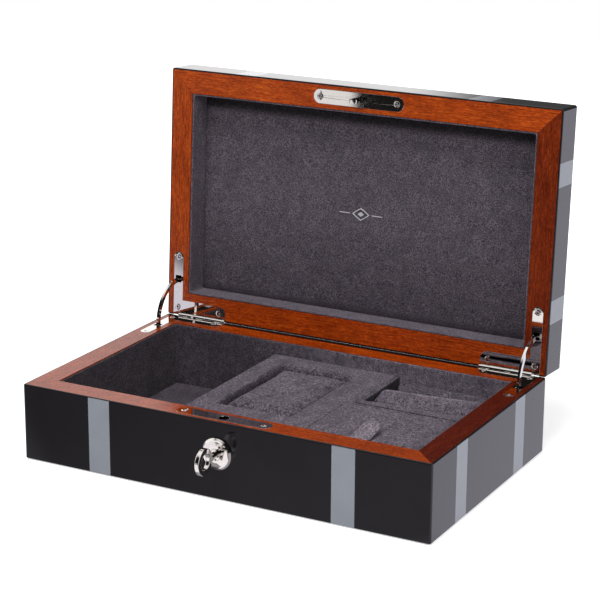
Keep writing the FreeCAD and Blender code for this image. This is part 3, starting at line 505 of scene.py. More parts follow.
def fabric_back_shade_line(sh, y):
    """A painted shade line along the back edge of the fabric hinge."""
    return sh.remap(sh.off(y, FABRIC_BACK_Y), over=(0.35, 1.35), to=(0.36, 1.0))


def flap_shade(sh, x, y, z):
    """Painted shade along the crease of the flap and behind its fabric hinge."""
    crease = sh.remap(sh.off(y, FLAP_CREASE_Y), over=(0.35, 1.35), to=(0.34, 1.0))
    return sh.mul(crease, fabric_back_shade_line(sh, y))


def roll_shade(sh, x, y, z):
    """Painted highlight along the crest of the middle roll, painted light on its front slope, painted
    shade behind it.
    """
    # the crest runs slightly askew: y = 44.6 at the middle of the roll, 0.119 mm per mm of x
    slant = sh.mul(sh.sub(x, (ROLL_X0 + ROLL_X1) / 2), 0.119)
    behind = sh.sub(y, sh.add(44.6, slant))
    crest = sh.remap(sh.math("ABSOLUTE", behind), over=(0.3, 1.7), to=(1.5, 1.0))
    slope = sh.remap(behind, over=(-14.0, -1.0), to=(1.0, 1.14))
    dark = sh.remap(behind, over=(0.4, 2.2), to=(1.0, 0.66))
    return sh.mul(sh.mul(crest, fabric_back_shade_line(sh, y)), sh.mul(slope, dark))


def deck_shade(sh, x, y, z):
    """Painted shade down the slot between the deck and the rolls."""
    left = sh.remap(x, over=(45.5, 45.9), to=(0.0, 1.0))
    right = sh.remap(x, over=(56.0, 58.0), to=(1.0, 0.0))
    deep = sh.mul(sh.remap(z, over=(38.6, 40.5), to=(1.0, 0.0)), sh.mul(left, right))
    return sh.sub(1.0, sh.mul(deep, 0.86))


def lid_panel_shade(sh, x, y, z):
    """Painted shade: the lid panel darkens towards the hinges, and a painted shadow of the top rim
    lies along its top edge.
    """
    low = sh.mul(
        sh.remap(z, over=(66.0, 73.0), to=(0.55, 1.0)),
        sh.remap(z, over=(70.0, 135.0), to=(0.76, 1.0)),
    )
    return sh.mul(low, sh.remap(z, over=(189.5, 196.5), to=(1.0, 0.30)))


# ---------------------------------------------------- lacquer, wood and metal
def lacquer(name):
    """Polished black lacquer: mirror smooth, with faint orange peel and wiping marks."""
    mat, sh, bsdf, place = material(name, (0.02, 0.02, 0.02))
    haze = sh.noise(place, scale=0.03, detail=3.0, rough=0.6, warp=0.3)
    wipe = sh.noise(place, stretch=(0.05, 0.6, 0.35), detail=4.0, rough=0.7, warp=0.8)
    blacks = [(0.25, (0.0042, 0.0036, 0.0046)), (0.75, (0.0068, 0.0058, 0.0075))]
    wiped = sh.remap(wipe, over=(0.3, 0.8), to=(0.0, 0.035))
    sh.fill(bsdf, {
        "Base Color": sh.ramp(haze, blacks),
        "Roughness": sh.add(wiped, sh.remap(haze, to=(0.045, 0.07))),
        "IOR": 1.5,
        "Specular IOR Level": 0.5,
        "Normal": sh.bump(sh.noise(place, scale=0.16), strength=0.05, distance=0.0002),
    })
    return mat


def stripe_paint(name, in_lid=False):
    """Silver grey stripe with a fine metallic speckle, black along the seam of lid and base."""
    mat, sh, bsdf, place = material(name, (0.35, 0.36, 0.4))
    if in_lid:
        place = closed_place(sh, place)
    height = sh.split(place)[2]
    seam = sh.remap(sh.off(height, HINGE_Z), over=(0.55, 0.70), to=(1.0, 0.0))
    speck = sh.noise(place, scale=6.0, detail=2.0, rough=0.7)
    cloud = sh.noise(place, scale=0.05, detail=3.0, rough=0.6)
    silver = sh.ramp(cloud, [(0.25, (0.180, 0.195, 0.222)), (0.75, (0.205, 0.220, 0.248))])
    speckled = sh.tint(silver, sh.remap(speck, to=(0.93, 1.07)))
    sh.fill(bsdf, {
        "Base Color": sh.mix(seam, speckled, (0.005, 0.0045, 0.0055)),
        "Roughness": sh.remap(cloud, to=(0.10, 0.16)),
        "IOR": 1.5,
        "Coat Weight": 0.15,
        "Coat Roughness": 0.05,
        "Normal": sh.bump(sh.noise(place, scale=0.16), strength=0.05, distance=0.0002),
    })
    return mat


def mahogany(name, along_x, in_lid, seed, tone, gloss, hinge_shadow_from):
    """Satin mahogany with its grain along x or y; lid pieces are read in the closed frame."""
    mat, sh, bsdf, place = material(name, (0.4, 0.12, 0.03))
    if in_lid:
        place = closed_place(sh, place)
    x, y, z = sh.split(place)
    grain, across = (x, y) if along_x else (y, x)
    turned = {0: sh.add(grain, seed), 1: across, 2: sh.add(z, seed * 0.3)}
    wood = sh.node("ShaderNodeCombineXYZ", turned).outputs[0]
    # broad light and dark bands
    figure = sh.noise(wood, stretch=(0.022, 0.16, 0.16), detail=3.0, rough=0.55, warp=0.5)
    # growth lines
    line = sh.noise(wood, stretch=(0.085, 0.85, 0.85), detail=4.0, rough=0.70, warp=0.5)
    # fibres
    fine = sh.noise(wood, stretch=(0.34, 1.9, 1.9), detail=4.0, rough=0.80)
    # short open pores
    pore = sh.noise(wood, stretch=(0.40, 3.2, 3.2), detail=2.0, rough=0.5)
    # cross shading of interlocked grain
    ribbon = sh.noise(wood, stretch=(0.055, 0.035, 0.05), detail=2.0, rough=0.5, warp=0.4)
    dark = times((0.120, 0.0120, 0.0012), tone)
    middle = times((0.248, 0.0330, 0.0024), tone)
    pale = times((0.365, 0.0680, 0.0052), tone)
    bands = sh.add(sh.mul(figure, 0.22), sh.mul(line, 0.78))
    colour = sh.ramp(bands, [(0.30, dark), (0.50, middle), (0.70, pale)])
    fibres = sh.remap(fine, over=(0.28, 0.72), to=(0.52, 1.50))
    colour = sh.tint(colour, sh.mul(fibres, sh.remap(ribbon, to=(0.90, 1.09))))
    hole = sh.remap(pore, over=(0.58, 0.68), to=(0.0, 1.0))
    colour = sh.mix(sh.mul(hole, 0.62), colour, tuple(c * 0.35 for c in dark))
    if hinge_shadow_from:  # painted shadow: the dark band of the hinge line, painted black over the outer edge of the wood
        painted_shadow = sh.remap(y, over=(hinge_shadow_from, hinge_shadow_from + 0.3), to=(0.0, 1.0))
        colour = sh.mix(painted_shadow, colour, (0.004, 0.003, 0.003))
    satin = sh.remap(fine, over=(0.2, 0.8), to=(0.20, 0.30))
    height = sh.sub(sh.mul(fine, 0.5), sh.mul(hole, 0.8))
    sh.fill(bsdf, {
        "Base Color": colour,
        "Roughness": sh.add(satin, sh.mul(hole, 0.12)),
        "IOR": 1.5,
        "Specular IOR Level": 0.19 * gloss,
        "Coat Weight": 0.06 * gloss,
        "Coat Roughness": 0.12,
        "Normal": sh.bump(height, strength=0.22, distance=0.00012),
    })
    return mat


def metal(name, colour, rough=(0.008, 0.03), scratch=0.012):
    """Plated metal: fine wiping scratches and slightly cloudy polish."""
    mat, sh, bsdf, place = material(name, colour)
    cloud = sh.noise(place, scale=0.35, detail=3.0, rough=0.6)
    wipe = sh.noise(place, stretch=(0.6, 5.0, 5.0), detail=3.0, rough=0.7, warp=0.2)
    wiped = sh.remap(wipe, over=(0.4, 0.8), to=(0.0, 0.02))
    sh.fill(bsdf, {
        "Base Color": sh.tint(sh.mix(0.0, colour, colour), sh.remap(cloud, to=(0.96, 1.02))),
        "Metallic": 1.0,
        "Roughness": sh.add(sh.remap(cloud, to=rough), wiped),
        "Normal": sh.bump(wipe, strength=scratch, distance=0.00006),
    })
    return mat


# --------------------------------------------------- felt, board, foam and foil
def felt(name):
    mat, sh, bsdf, place = material(name, (0.03, 0.03, 0.03))
    tufts = sh.noise(place, scale=0.9, detail=5.0, rough=0.7, warp=0.6)
    hairs = sh.noise(place, stretch=(2.5, 0.8, 1.0), detail=4.0, rough=0.7, warp=1.2)
    blacks = [(0.3, (0.010, 0.010, 0.012)), (0.7, (0.034, 0.033, 0.037))]
    sh.fill(bsdf, {
        "Base Color": sh.ramp(sh.mul(sh.add(tufts, hairs), 0.5), blacks),
        "Roughness": 0.96,
        "Specular IOR Level": 0.15,
        "Sheen Weight": 0.25,
        "Normal": sh.bump(sh.add(tufts, hairs), strength=0.6, distance=0.0005),
    })
    return mat


def plain_board(name):
    mat, sh, bsdf, place = material(name, (0.4, 0.3, 0.2))
    grain = sh.noise(place, stretch=(0.02, 0.9, 0.9), detail=4.0, rough=0.6, warp=0.3)
    sh.fill(bsdf, {
        "Base Color": sh.ramp(grain, [(0.3, (0.23, 0.14, 0.075)), (0.7, (0.40, 0.27, 0.16))]),
        "Roughness": sh.remap(grain, to=(0.55, 0.75)),
        "Normal": sh.bump(grain, strength=0.2, distance=0.0002),
    })
    return mat


def foam(name):
    mat, sh, bsdf, place = material(name, (0.2, 0.2, 0.2))
    voronoi = sh.node("ShaderNodeTexVoronoi", {"Vector": place, "Scale": 1.6})
    cells = voronoi.outputs["Distance"]
    sh.fill(bsdf, {
        "Base Color": sh.ramp(cells, [(0.1, (0.07, 0.07, 0.075)), (0.6, (0.2, 0.2, 0.21))]),
        "Roughness": 0.95,
        "Normal": sh.bump(cells, strength=0.6, distance=0.0005),
    })
    return mat


def foil(name):
    """Mottled silver foil."""
    mat, sh, bsdf, place = material(name, (0.8, 0.8, 0.82))
    mottle = sh.noise(place, scale=2.2, detail=3.0, rough=0.7)
    sh.fill(bsdf, {
        "Base Color": sh.ramp(mottle, [(0.25, (0.52, 0.52, 0.54)), (0.7, (0.80, 0.80, 0.82))]),
        "Metallic": 0.6,
        "Roughness": sh.remap(mottle, to=(0.35, 0.55)),
        "Normal": sh.bump(mottle, strength=0.3, distance=0.0002),
    })
    return mat


LOOKS = {
    "lacquer": lacquer("polished_black_lacquer"),
    "stripe": stripe_paint("silver_grey_stripe"),
    "stripe_lid": stripe_paint("silver_grey_stripe_lid", in_lid=True),
    "nickel": metal("polished_nickel", colour=(0.80, 0.77, 0.735)),
    "steel": metal("lock_sheet_steel", colour=(0.52, 0.51, 0.50), rough=(0.25, 0.38), scratch=0.2),
    "brass": metal("satin_brass", colour=(0.78, 0.58, 0.27), rough=(0.16, 0.28), scratch=0.12),
    "felt": felt("black_base_felt"),
    "board": plain_board("base_board"),
    "foam": foam("pillow_foam"),
    "foil": foil("silver_foil"),
    "wall": suede("suede_walls", seed=13.0, nap=(0.5, 0.3, 0.1), crush=1.2, sheen=0.16,
                  flat=False, shade=wall_shade),
    "floor": suede("suede_floors", seed=17.0, nap=(0.5, 0.3, 0.1), gain=0.60, crush=1.2,
                   sheen=0.16),
    "deck": suede("suede_deck", seed=41.0, nap=(0.9, 0.1, 0.1), gain=1.02, crush=1.5,
                  shade=deck_shade),
    "roll": suede("suede_rolls", seed=77.0, nap=(0.2, 0.6, 0.4), gain=1.10, shade=roll_shade),
    "pillow": suede("suede_pillow", seed=101.0, nap=(0.3, 0.9, 0.2), crush=1.8),
    "flap": suede("suede_flap", seed=59.0, nap=(0.8, 0.4, 0.1), gain=1.06, crush=1.2,
                  shade=flap_shade),
    "tab": suede("suede_tab", seed=5.0, nap=(0.2, 1.0, 0.2), base=(0.084, 0.072, 0.084),
                 gain=1.45, crush=0.5, sheen=0.28),
    "lid_panel": suede("suede_lid_panel", seed=29.0, nap=(0.4, 0.2, 0.6), gain=0.86, crush=0.9,
                       flat=False, shade=lid_panel_shade),
    "lid_wall": suede("suede_lid_walls", seed=19.0, nap=(0.4, 0.4, 0.4), flat=False),
}

# ------------------------------------------------------------- CAD pieces
SIDES = ("front", "back", "left", "right")
HINGE_LEAVES = [f"hinge_leaf_{part}_{side}" for part in ("base", "lid") for side in SIDES[:1:-1]]
HINGE_STAYS = ["hinge_stay_right", "hinge_stay_left"]
SCREWS = ["hinge_screws_base", "hinge_screws_lid", "lock_face_screws", "strike_plate_screws"]
NICKEL_PIECES = HINGE_LEAVES + HINGE_STAYS + SCREWS + [
    "hinge_pin_right", "hinge_pin_left", "lock_face_plate", "escutcheon", "strike_plate",
    "strike_hook", "key", "lock_plug",
]

# Mahogany rims: part, side, texture seed, tone, gloss, y where the painted shadow of the hinge line
# begins
# The right rims of base and lid are tinted much darker and less glossy than the rest.
RIMS = (
    ("base", "front", 10.0, (0.92, 0.92, 0.98), 1.0, None),
    ("base", "back", 310.0, (0.97, 0.92, 0.95), 1.0, 80.4),
    ("base", "left", 620.0, (0.86, 0.88, 1.0), 1.0, None),
    ("base", "right", 930.0, (0.27, 0.20, 0.5), 0.7, None),
    ("lid", "front", 1240.0, (1.0, 1.0, 1.0), 1.0, None),
    ("lid", "back", 1550.0, (0.90, 0.84, 0.9), 1.0, None),
    ("lid", "left", 1860.0, (0.95, 0.95, 1.0), 1.0, None),
    ("lid", "right", 2170.0, (0.42, 0.36, 0.7), 0.8, None),
)

# Worn and sanded edges: pieces, bevel width in mm, segments, angle limit in degrees
SOFT_EDGES = (
    (HINGE_LEAVES + HINGE_STAYS, 0.22, 2, 35),
    (["strike_plate"], 0.30, 3, 35),
    (["lock_face_plate"], 0.09, 2, 35),
    (SCREWS, 0.07, 1, 50),
    (["strike_hook"], 0.25, 2, 35),
    ([f"{part}_rim_{side}" for part in ("base", "lid") for side in SIDES], 0.14, 2, 50),
)


def dress(node, look):
    obj = CAD[node]
    if not obj.material_slots:
        obj.data.materials.append(look)
        return
    for slot in obj.material_slots:
        slot.link = "OBJECT"
        slot.material = look


def soften(node, width, segments, angle):
    """Machined and sanded edges on a CAD piece, by modifiers only."""
    modifiers = CAD[node].modifiers
    weld = modifiers.new("Weld", "WELD")
    weld.merge_threshold = 2e-6
    bevel = modifiers.new("Bevel", "BEVEL")
    bevel.width = width * MM
    bevel.segments = segments
    bevel.limit_method = "ANGLE"
    bevel.angle_limit = math.radians(angle)
    bevel.use_clamp_overlap = True
    bevel.harden_normals = False
    bevel.face_strength_mode = "FSTR_ALL"
    normals = modifiers.new("WeightedNormal", "WEIGHTED_NORMAL")
    normals.keep_sharp = False
    normals.weight = 80
    normals.use_face_influence = True


for node in CAD:
    if node.endswith("_board") or node == "lid_top_panel":
        dress(node, LOOKS["lacquer"])
    elif "inlay" in node:
        dress(node, LOOKS["stripe_lid" if node.startswith("lid_") else "stripe"])
for part, side, seed, tone, gloss, hinge_shadow_from in RIMS:
    along_x = side in ("front", "back")
    wood_name = f"mahogany_{part}_{side}"
    wood = mahogany(wood_name, along_x, part == "lid", seed, tone, gloss, hinge_shadow_from)
    dress(f"{part}_rim_{side}", wood)
for node in NICKEL_PIECES:
    dress(node, LOOKS["nickel"])
dress("lock_case", LOOKS["steel"])
dress("lock_bolt", LOOKS["brass"])
dress("base_bottom_panel", LOOKS["board"])
for nodes, width, segments, angle in SOFT_EDGES:
    for node in nodes:
        soften(node, width, segments, angle)


# ------------------------------------------------------------- wall linings
def lining_plan(inset):
    """The outline of the lining seen from above, inset from its outer face."""
    inner, outer, steps = 1.6, 0.4, 7  # corner radii and points in a corner
    radius = inner if inset > LINING * 0.5 else outer + (inner - outer) * inset / LINING
    arcs = []
    for side_x, side_y, start in ((1, -1, -90), (1, 1, 0), (-1, 1, 90), (-1, -1, 180)):
        centre_x = side_x * (HALF_X - inset - radius)
        centre_y = side_y * (HALF_Y - inset - radius)
        for i in range(steps):
            turn = math.radians(start + 90.0 * i / (steps - 1))
            point = (centre_x + radius * math.cos(turn), centre_y + radius * math.sin(turn))
            arcs.append(np.array(point))
    plan = []
    for i, point in enumerate(arcs):
        corner, step = divmod(i, steps)
        if step == steps - 1:  # the straight run to the next corner
            ahead = arcs[(i + 1) % len(arcs)]
            count = int(2 * (HALF_X if corner % 2 else HALF_Y) / 2.4)
            plan += [point + (ahead - point) * j / count for j in range(count)]
        else:
            plan.append(point)
    return np.array(plan)


def wall_ring(bottom, rim, seed):
    """The suede lining of four walls as one ring, its edge rolled where it wraps the card."""
    half = LINING / 2
    # profile: inset from the outer face, z, share of puff
    profile = [(0.0, z, 0.0) for z in np.linspace(bottom, rim - half, 16)]
    for turn in np.linspace(0, math.pi, 9)[1:-1]:
        profile.append((half - math.cos(turn) * half, rim - half + math.sin(turn) * half, 0.5))
    profile += [(LINING, z, 1.0) for z in np.linspace(rim - half, bottom, 24)]
    rings, shares = [], []
    for inset, z, share in profile:
        plan = lining_plan(inset)
        rings.append(np.column_stack([plan, np.full(len(plan), z)]))
        shares.append(np.full(len(plan), share))
    count = len(rings[0])
    verts, share = np.vstack(rings), np.concatenate(shares)
    x, y, z = verts.T
    on_side = np.abs(np.abs(x) - HALF_X) < np.abs(np.abs(y) - HALF_Y)
    inward_x = np.where(on_side, -np.sign(x), 0.0)
    inward_y = np.where(inward_x == 0, -np.sign(y), 0.0)
    puff = share * ripples(verts, seed, (34, 0.10), (9, 0.04))
    puff = puff + np.exp(-(((rim - 1.1) - z) ** 2)) * 0.22 * (share > 0.4)
    verts = np.column_stack([x + inward_x * puff, y + inward_y * puff, z])
    faces = []
    for i in range(len(rings)):
        for j in range(count):
            base, above, ahead = i * count, (i + 1) % len(rings) * count, (j + 1) % count
            faces.append((base + j, base + ahead, above + ahead, above + j))
    return verts, faces


verts, faces = wall_ring(bottom=6.0, rim=49.5, seed=3)
piece("base_wall_suede", verts, faces, "base", LOOKS["wall"], ["base_wall_lining"])

verts, faces = wall_ring(bottom=-67.8, rim=-51.0, seed=8)
verts[:, 2] *= -1  # drawn upside down: the rolled edge belongs at the rim
piece("lid_wall_suede", opened(verts), faces, "lid", LOOKS["lid_wall"], ["lid_wall_lining"])


# ------------------------------------------------------------- lid panel and floor pads
def pad(box, cell, edge, seed, waves, fade, rise=0.0, puff=None):
    """A padded board, raised on top by a fixed rise or by a simulated puff.

    box is x0, x1, y0, y1, z0, z1. The lift fades out within fade mm of the sides.
    """
    verts, faces, count = slab(box, cell, edge)
    x0, x1, y0, y1 = box[:4]
    x, y = verts[:, 0], verts[:, 1]
    top = np.arange(len(verts)) < count
    gap = np.minimum(np.minimum(x - x0, x1 - x), np.minimum(y - y0, y1 - y))
    if puff:
        held, cap = ~top | (gap < puff["glued"]), puff["cap"]
        swollen = cloth_puff(verts, faces, held, puff["pressure"], frames=14, cap=cap, scale=4.0)
        rise = puff["share"] * np.clip(swollen[:, 2] - verts[:, 2], 0, cap)
    lift = np.where(top, rise + ripples(verts, seed, *waves), 0)
    verts[:, 2] += lift * smooth_step(0.0, fade, gap)
    return verts, faces


# Lid panel: thin padding under the suede, glued at its edges, also drawn upside down
panel_x, panel_y = HALF_X - LID_PANEL_GAP, HALF_Y - LID_PANEL_GAP
verts, faces = pad(
    (-panel_x, panel_x, -panel_y, panel_y, -70.0, -67.75), cell=3.2, edge=1.4,
    seed=21, waves=((30, 0.09), (8, 0.03)), fade=5.0,
    puff={"glued": 1.0, "pressure": 1.1, "cap": 0.9, "share": 0.28},
)
verts[:, 2] *= -1
piece("lid_panel_suede", opened(verts), faces, "lid", LOOKS["lid_panel"], ["lid_lining_panel"])

# Floor pad of the open bay on the left
verts, faces = pad(
    (-122.6, -46.3, -67.6, 67.6, 6.0, 8.1), cell=2.6, edge=1.2,
    seed=31, waves=((24, 0.12), (7, 0.04)), fade=4.0,
    puff={"glued": 0.6, "pressure": 1.4, "cap": 1.1, "share": 0.7},
)
piece("left_floor_suede", verts, faces, "base", LOOKS["floor"], ["left_floor_pad"])

# Floor pad of the bin under the flap
verts, faces = pad(
    (49.3, 118.4, -63.4, 1.7, 8.0, 9.5), cell=2.6, edge=1.0,
    seed=35, waves=((20, 0.15), (7, 0.05)), fade=5.0, rise=0.5,
)
piece("bin_floor_suede", verts, faces, "base", LOOKS["floor"], ["accessory_floor_pad"])


# ------------------------------------------------------------- centre insert and tray
def covered(node, voxel, seed, soft):
    """Suede glued over a CAD shape: its edges rounded, with faint undulations soft mm high."""
    verts, faces = voxelised(*cad_mesh(node), voxel)
    low, high = verts.min(0), verts.max(0)
    verts = relax(verts, faces, 4)
    lift = ripples(verts, seed, (22, soft), (6, 0.35 * soft))
    verts = verts + normals_of(verts, faces) * lift[:, None]
    return np.clip(verts, low, high), faces


for node, voxel, seed, soft in (("centre_insert", 1.05, 51, 0.14), ("accessory_tray", 0.75, 61, 0.08)):
    verts, faces = covered(node, voxel, seed, soft)
    piece(node + "_suede", verts, faces, "base", LOOKS["deck"], [node])


# ------------------------------------------------------------- ring rolls
def cushion(sections, voxel, held_below, cap, low, high):
    """A stuffed skin swollen by simulation and pressed against the box low to high."""
    verts, faces = voxelised(*loft(sections), voxel)
    verts = relax(verts, faces, 1)
    held = verts[:, 2] < held_below
    swollen = cloth_puff(verts, faces, held, pressure=4.0, frames=20, cap=cap, scale=8.0)
    return np.clip(swollen, low, high), faces


def resample(outline, count):
    """Evenly spaced points round a closed outline."""
    closed = np.array(outline + outline[:1], float)
    steps = np.linalg.norm(np.diff(closed, axis=0), axis=1)
    length = np.concatenate([[0], np.cumsum(steps)])
    at = np.linspace(0, length[-1], count, endpoint=False)
    return np.column_stack([np.interp(at, length, closed[:, i]) for i in (0, 1)])


# where: front y, back y and top of the room for the roll; lean: how much further back
# the crest lies at the right end than at the left; outline: section points (y, z)
ROLLS = {
    "front": dict(
        where=(7.25, 28.9, 41.3), lean=3.0, seed=71, cap=0.9,
        outline=[
            (8.0, 10.5), (28.4, 10.5), (28.4, 34.6), (27.0, 37.0), (23.5, 38.6), (19.5, 39.8),
            (15, 40.6), (10, 40.6), (8.0, 40.0),
        ],
    ),
    "middle": dict(
        where=(29.1, 57.5, 42.0), lean=9.0, seed=73, cap=0.9,
        outline=[
            (29.8, 10.5), (56.8, 10.5), (56.8, 29), (54.5, 34.0), (51.2, 37.8), (48.0, 40.4),
            (45.6, 40.9), (43.4, 40.5), (38, 39.2), (33, 37.8), (29.8, 36.2),
        ],
    ),
    "back": dict(
        where=(57.7, 67.55, 38.6), lean=0.0, seed=75, cap=0.7,
        outline=[
            (58.4, 10.5), (67.0, 10.5), (67.0, 38.4), (65.0, 38.0), (62.0, 36.0), (59.6, 33.0),
            (58.4, 30),
        ],
    ),
}


def ring_roll(place, where, lean, seed, cap, outline):
    """A foam roll in suede, swollen and pressed against its neighbours."""
    front, back, top = where
    shoulder = ROLL_BASE + 12
    ring_y, ring_z = resample(outline, 72).T
    middle = ring_y.mean()
    sections = []
    for x in np.linspace(ROLL_X0 + 0.25, ROLL_X1 - 0.25, 34):
        size = 1 - 0.03 * bell(min(x - ROLL_X0, ROLL_X1 - x), 1.0)  # ends drawn in
        shift = lean * ((x - ROLL_X0) / (ROLL_X1 - ROLL_X0) - 0.5)
        y = middle + (ring_y - middle) * (1 - (1 - size) * 0.5)
        y = y + shift * smooth_step(shoulder, top, ring_z)
        z = ROLL_BASE + (ring_z - ROLL_BASE) * size
        sections.append(np.column_stack([np.full(len(y), x), y, z]))
    low, high = (ROLL_X0, front, ROLL_BASE), (ROLL_X1, back, top)
    verts, faces = cushion(sections, 1.7, ROLL_BASE + 2.0, cap, low, high)
    lift = ripples(verts, seed, (19, 0.18), (6, 0.07)) - 0.2
    verts[:, 2] += np.where(verts[:, 2] > shoulder, lift, 0)
    name = "ring_roll_" + place
    piece(name + "_suede", verts, faces, "base", LOOKS["roll"], [name], subdiv=1)


for place, roll in ROLLS.items():
    ring_roll(place, **roll)


# ------------------------------------------------------------- watch pillow
def round_over(distance, radius):
    """Height from 0 to 1 of a rounded end, at a distance from its tip."""
    return math.sqrt(max(0.0, 1 - max(0.0, 1 - distance / radius) ** 2))


def signed_power(value, power):
    return math.copysign(abs(value) ** power, value)


def watch_pillow():
    """A cushion for the strap to go round, drawn in more at its left end."""
    low, high = (-29.2, -34.4, 13.0), (21.6, 50.0, 42.4)
    middle_y, middle_z = 8.0, 26.5
    oval = []
    for turn in np.linspace(0, 2 * math.pi, 80, endpoint=False):
        y = middle_y + 41.2 * signed_power(math.cos(turn), 0.30)
        z = 27.2 + 13.2 * signed_power(math.sin(turn), 0.34)
        oval.append((y, z))
    oval_y, oval_z = np.array(oval).T
    sections = []
    for x in np.linspace(low[0] + 1.2, high[0] - 0.6, 28):
        if x < -4:
            gap = x - low[0]
            size_z = round_over(gap, 9.0) * 0.22 + 0.78
        else:
            gap = high[0] - x
            size_z = round_over(gap, 5.0) * 0.07 + 0.93
        size_y = round_over(gap, 6.0) * 0.04 + 0.96
        y = middle_y + (oval_y - middle_y) * size_y
        z = middle_z + (oval_z - middle_z) * size_z
        sections.append(np.column_stack([np.full(len(y), x), y, z]))
    verts, faces = cushion(sections, 1.6, held_below=17.0, cap=1.8, low=low, high=high)
    lift = ripples(verts, 81, (17, 0.40), (7, 0.12))
    verts[:, 2] += np.where(verts[:, 2] > 30, lift, 0)
    stands_for = ["watch_pillow_cover"]
    look = LOOKS["pillow"]
    piece("watch_pillow_suede", verts, faces, "watch_pillow", look, stands_for, subdiv=1)


def pillow_foam():
    """The foam core, shrunk to stay inside its cover."""
    verts, faces = voxelised(*cad_mesh("watch_pillow_core"), 1.6)
    verts = relax(verts, faces, 8)
    centre = np.array([-4.9, 8.2, 28.0])
    verts = centre + (verts - centre) * np.array([0.80, 0.86, 0.74])
    stands_for = ["watch_pillow_core"]
    piece("watch_pillow_foam", verts, faces, "watch_pillow", LOOKS["foam"], stands_for, "foam")


watch_pillow()
pillow_foam()


# ------------------------------------------------------------- flap, tab and fabric hinge
def flap():
    """Padded board in suede over the bin."""
    verts, faces = voxelised(*cad_mesh("flap_panel"), 0.8)
    low, high = verts.min(0), verts.max(0)
    verts = relax(verts, faces, 5)
    upward = np.clip(normals_of(verts, faces)[:, 2], 0, 1)
    gap = np.minimum(verts - low, high - verts)[:, :2].min(1)
    lift = 0.45 + ripples(verts, 91, (20, 0.16), (7, 0.06))
    verts[:, 2] += upward * smooth_step(0, 9, gap) * lift
    piece("flap_suede", verts, faces, "flap", LOOKS["flap"], ["flap_panel"])


def pull_tab():
    """Doubled suede with a round end, curling up towards its tip, grooved along its edge."""
    width, length, thick = 12.5, 33.0, 1.5
    root_x, root_y, root_z = 78.0, -66.1, 41.75
    across, straight_steps, end_steps = 18, 36, 24
    radius = width / 2
    straight = length - radius
    turns = np.linspace(0, math.pi / 2, end_steps)
    stations = np.concatenate([
        np.linspace(0, straight, straight_steps, endpoint=False),
        straight + radius * np.sin(turns),
    ])
    top, bottom = [], []
    for run in stations:
        share = run / length
        over = max(0.0, run - straight) / radius
        half = max(radius * math.sqrt(max(0.0, 1 - over**2)), 0.05)
        for step in np.linspace(-1, 1, across):
            side = math.sin(step * math.pi / 2)
            full = (1 - abs(side) ** 5) ** 0.4 * (1 - over**6) ** 0.4
            groove = 0.16 * bell((1 - abs(side)) * half - 1.3, 0.32) if half > 2 else 0
            z = root_z + 0.15 + 5.0 * share**1.9 - 0.25 * side * side * share
            x = root_x + side * half + 0.35 * share**2
            top.append((x, root_y + run, z + thick * 0.5 * (1 + full) - groove))
            bottom.append((x, root_y + run, z + thick * 0.5 * (1 - full)))
    faces = shell_faces(len(stations), across)
    verts, faces = welded(np.array(top + bottom), faces, dist=0.004)
    piece("flap_tab_suede", verts, faces, "flap", LOOKS["tab"], ["flap_pull_tab"])


# Stations of the fabric hinge from back to front (y), closer together at the crease
FABRIC_Y = (
    12.4, 12.1, 11.4, 10.2, 9.0, 8.0, 7.2, 6.5, 6.0, 5.6,
    5.3, 5.05, 4.8, 4.5, 4.1, 3.6, 3.0, 2.5, 2.2, 2.0,
)


def fabric_hinge():
    """One strip from the tray to the flap, creased along the hinge line."""
    columns = np.linspace(45.7, 121.9, 60)
    top, bottom = [], []
    for x in columns:
        for y in FABRIC_Y:
            crease = 0.60 * bell(y - FLAP_CREASE_Y, 0.60)
            back_tuck = 0.5 * bell(FABRIC_Y[0] - y, 0.5)
            front_tuck = 0.42 * bell(y - FABRIC_Y[-1], 0.4)
            wave = 0.10 * math.sin(x * 0.31) * bell(y - 9, 3)
            z = 42.05 - crease - back_tuck - front_tuck + wave
            underside = 41.62 if y > 5.4 or y < 4.6 else 41.2
            top.append((x, y, z))
            bottom.append((x, y, min(z - 0.35, underside)))
    faces = shell_faces(len(columns), len(FABRIC_Y))
    look, stands_for = LOOKS["flap"], ["flap_hinge_strip"]
    strip = piece("flap_hinge_fabric", np.array(top + bottom), faces, None, look, stands_for)
    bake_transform(strip)


flap()
pull_tab()
fabric_hinge()


# ------------------------------------------------------------- felt pieces
def seam_shade_strip():
    """Black strip on the back edge between the hinges, which closes the seam: a dark sheet standing in
    for the shade in the hinge gap.
    """
    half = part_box("hinge_leaf_base_right")[0][0] * 1000 - 0.6
    # section points: y, z
    section = (
        (84.15, 49.97), (84.97, 49.97), (85.02, 50.02), (85.02, 50.13),
        (84.95, 50.16), (84.30, 50.16), (84.15, 50.10),
    )
    rings = [np.array([(x, y, z) for y, z in section]) for x in np.linspace(-half, half, 90)]
    piece("seam_shade_strip", *loft(rings), "base", LOOKS["felt"], slot="felt")


def base_felt():
    """Felt under the base, drawn upside down so that its rolled edge faces the ground."""
    box = (-135.8, 135.8, -80.8, 80.8, -0.8, 0.0)
    verts, faces, count = slab(box, cell=3.5, edge=0.45, corner=5.0)
    verts[:, 2] *= -1
    bottom = np.arange(len(verts)) < count
    verts[:, 2] += np.where(bottom, 0.03 + 0.03 * wobble(verts, 14, 95), 0)
    piece("base_felt_sheet", verts, faces, "base", LOOKS["felt"], ["base_felt_pad"], "felt")


seam_shade_strip()
base_felt()


# ------------------------------------------------------------- mark on the lid
MARK_MIDDLE = (-3.0, 84.0)  # x, and distance up the open lid from the hinge
MARK_HEIGHTS = (67.12, 67.9)  # closed z of its two faces


def mark_points(outline):
    """An outline (x, distance up the lid) round the mark's middle, at both heights."""
    middle_x, middle_up = MARK_MIDDLE
    return np.array([
        (middle_x + x, HINGE_Y - (middle_up + up), z) for z in MARK_HEIGHTS for x, up in outline
    ])


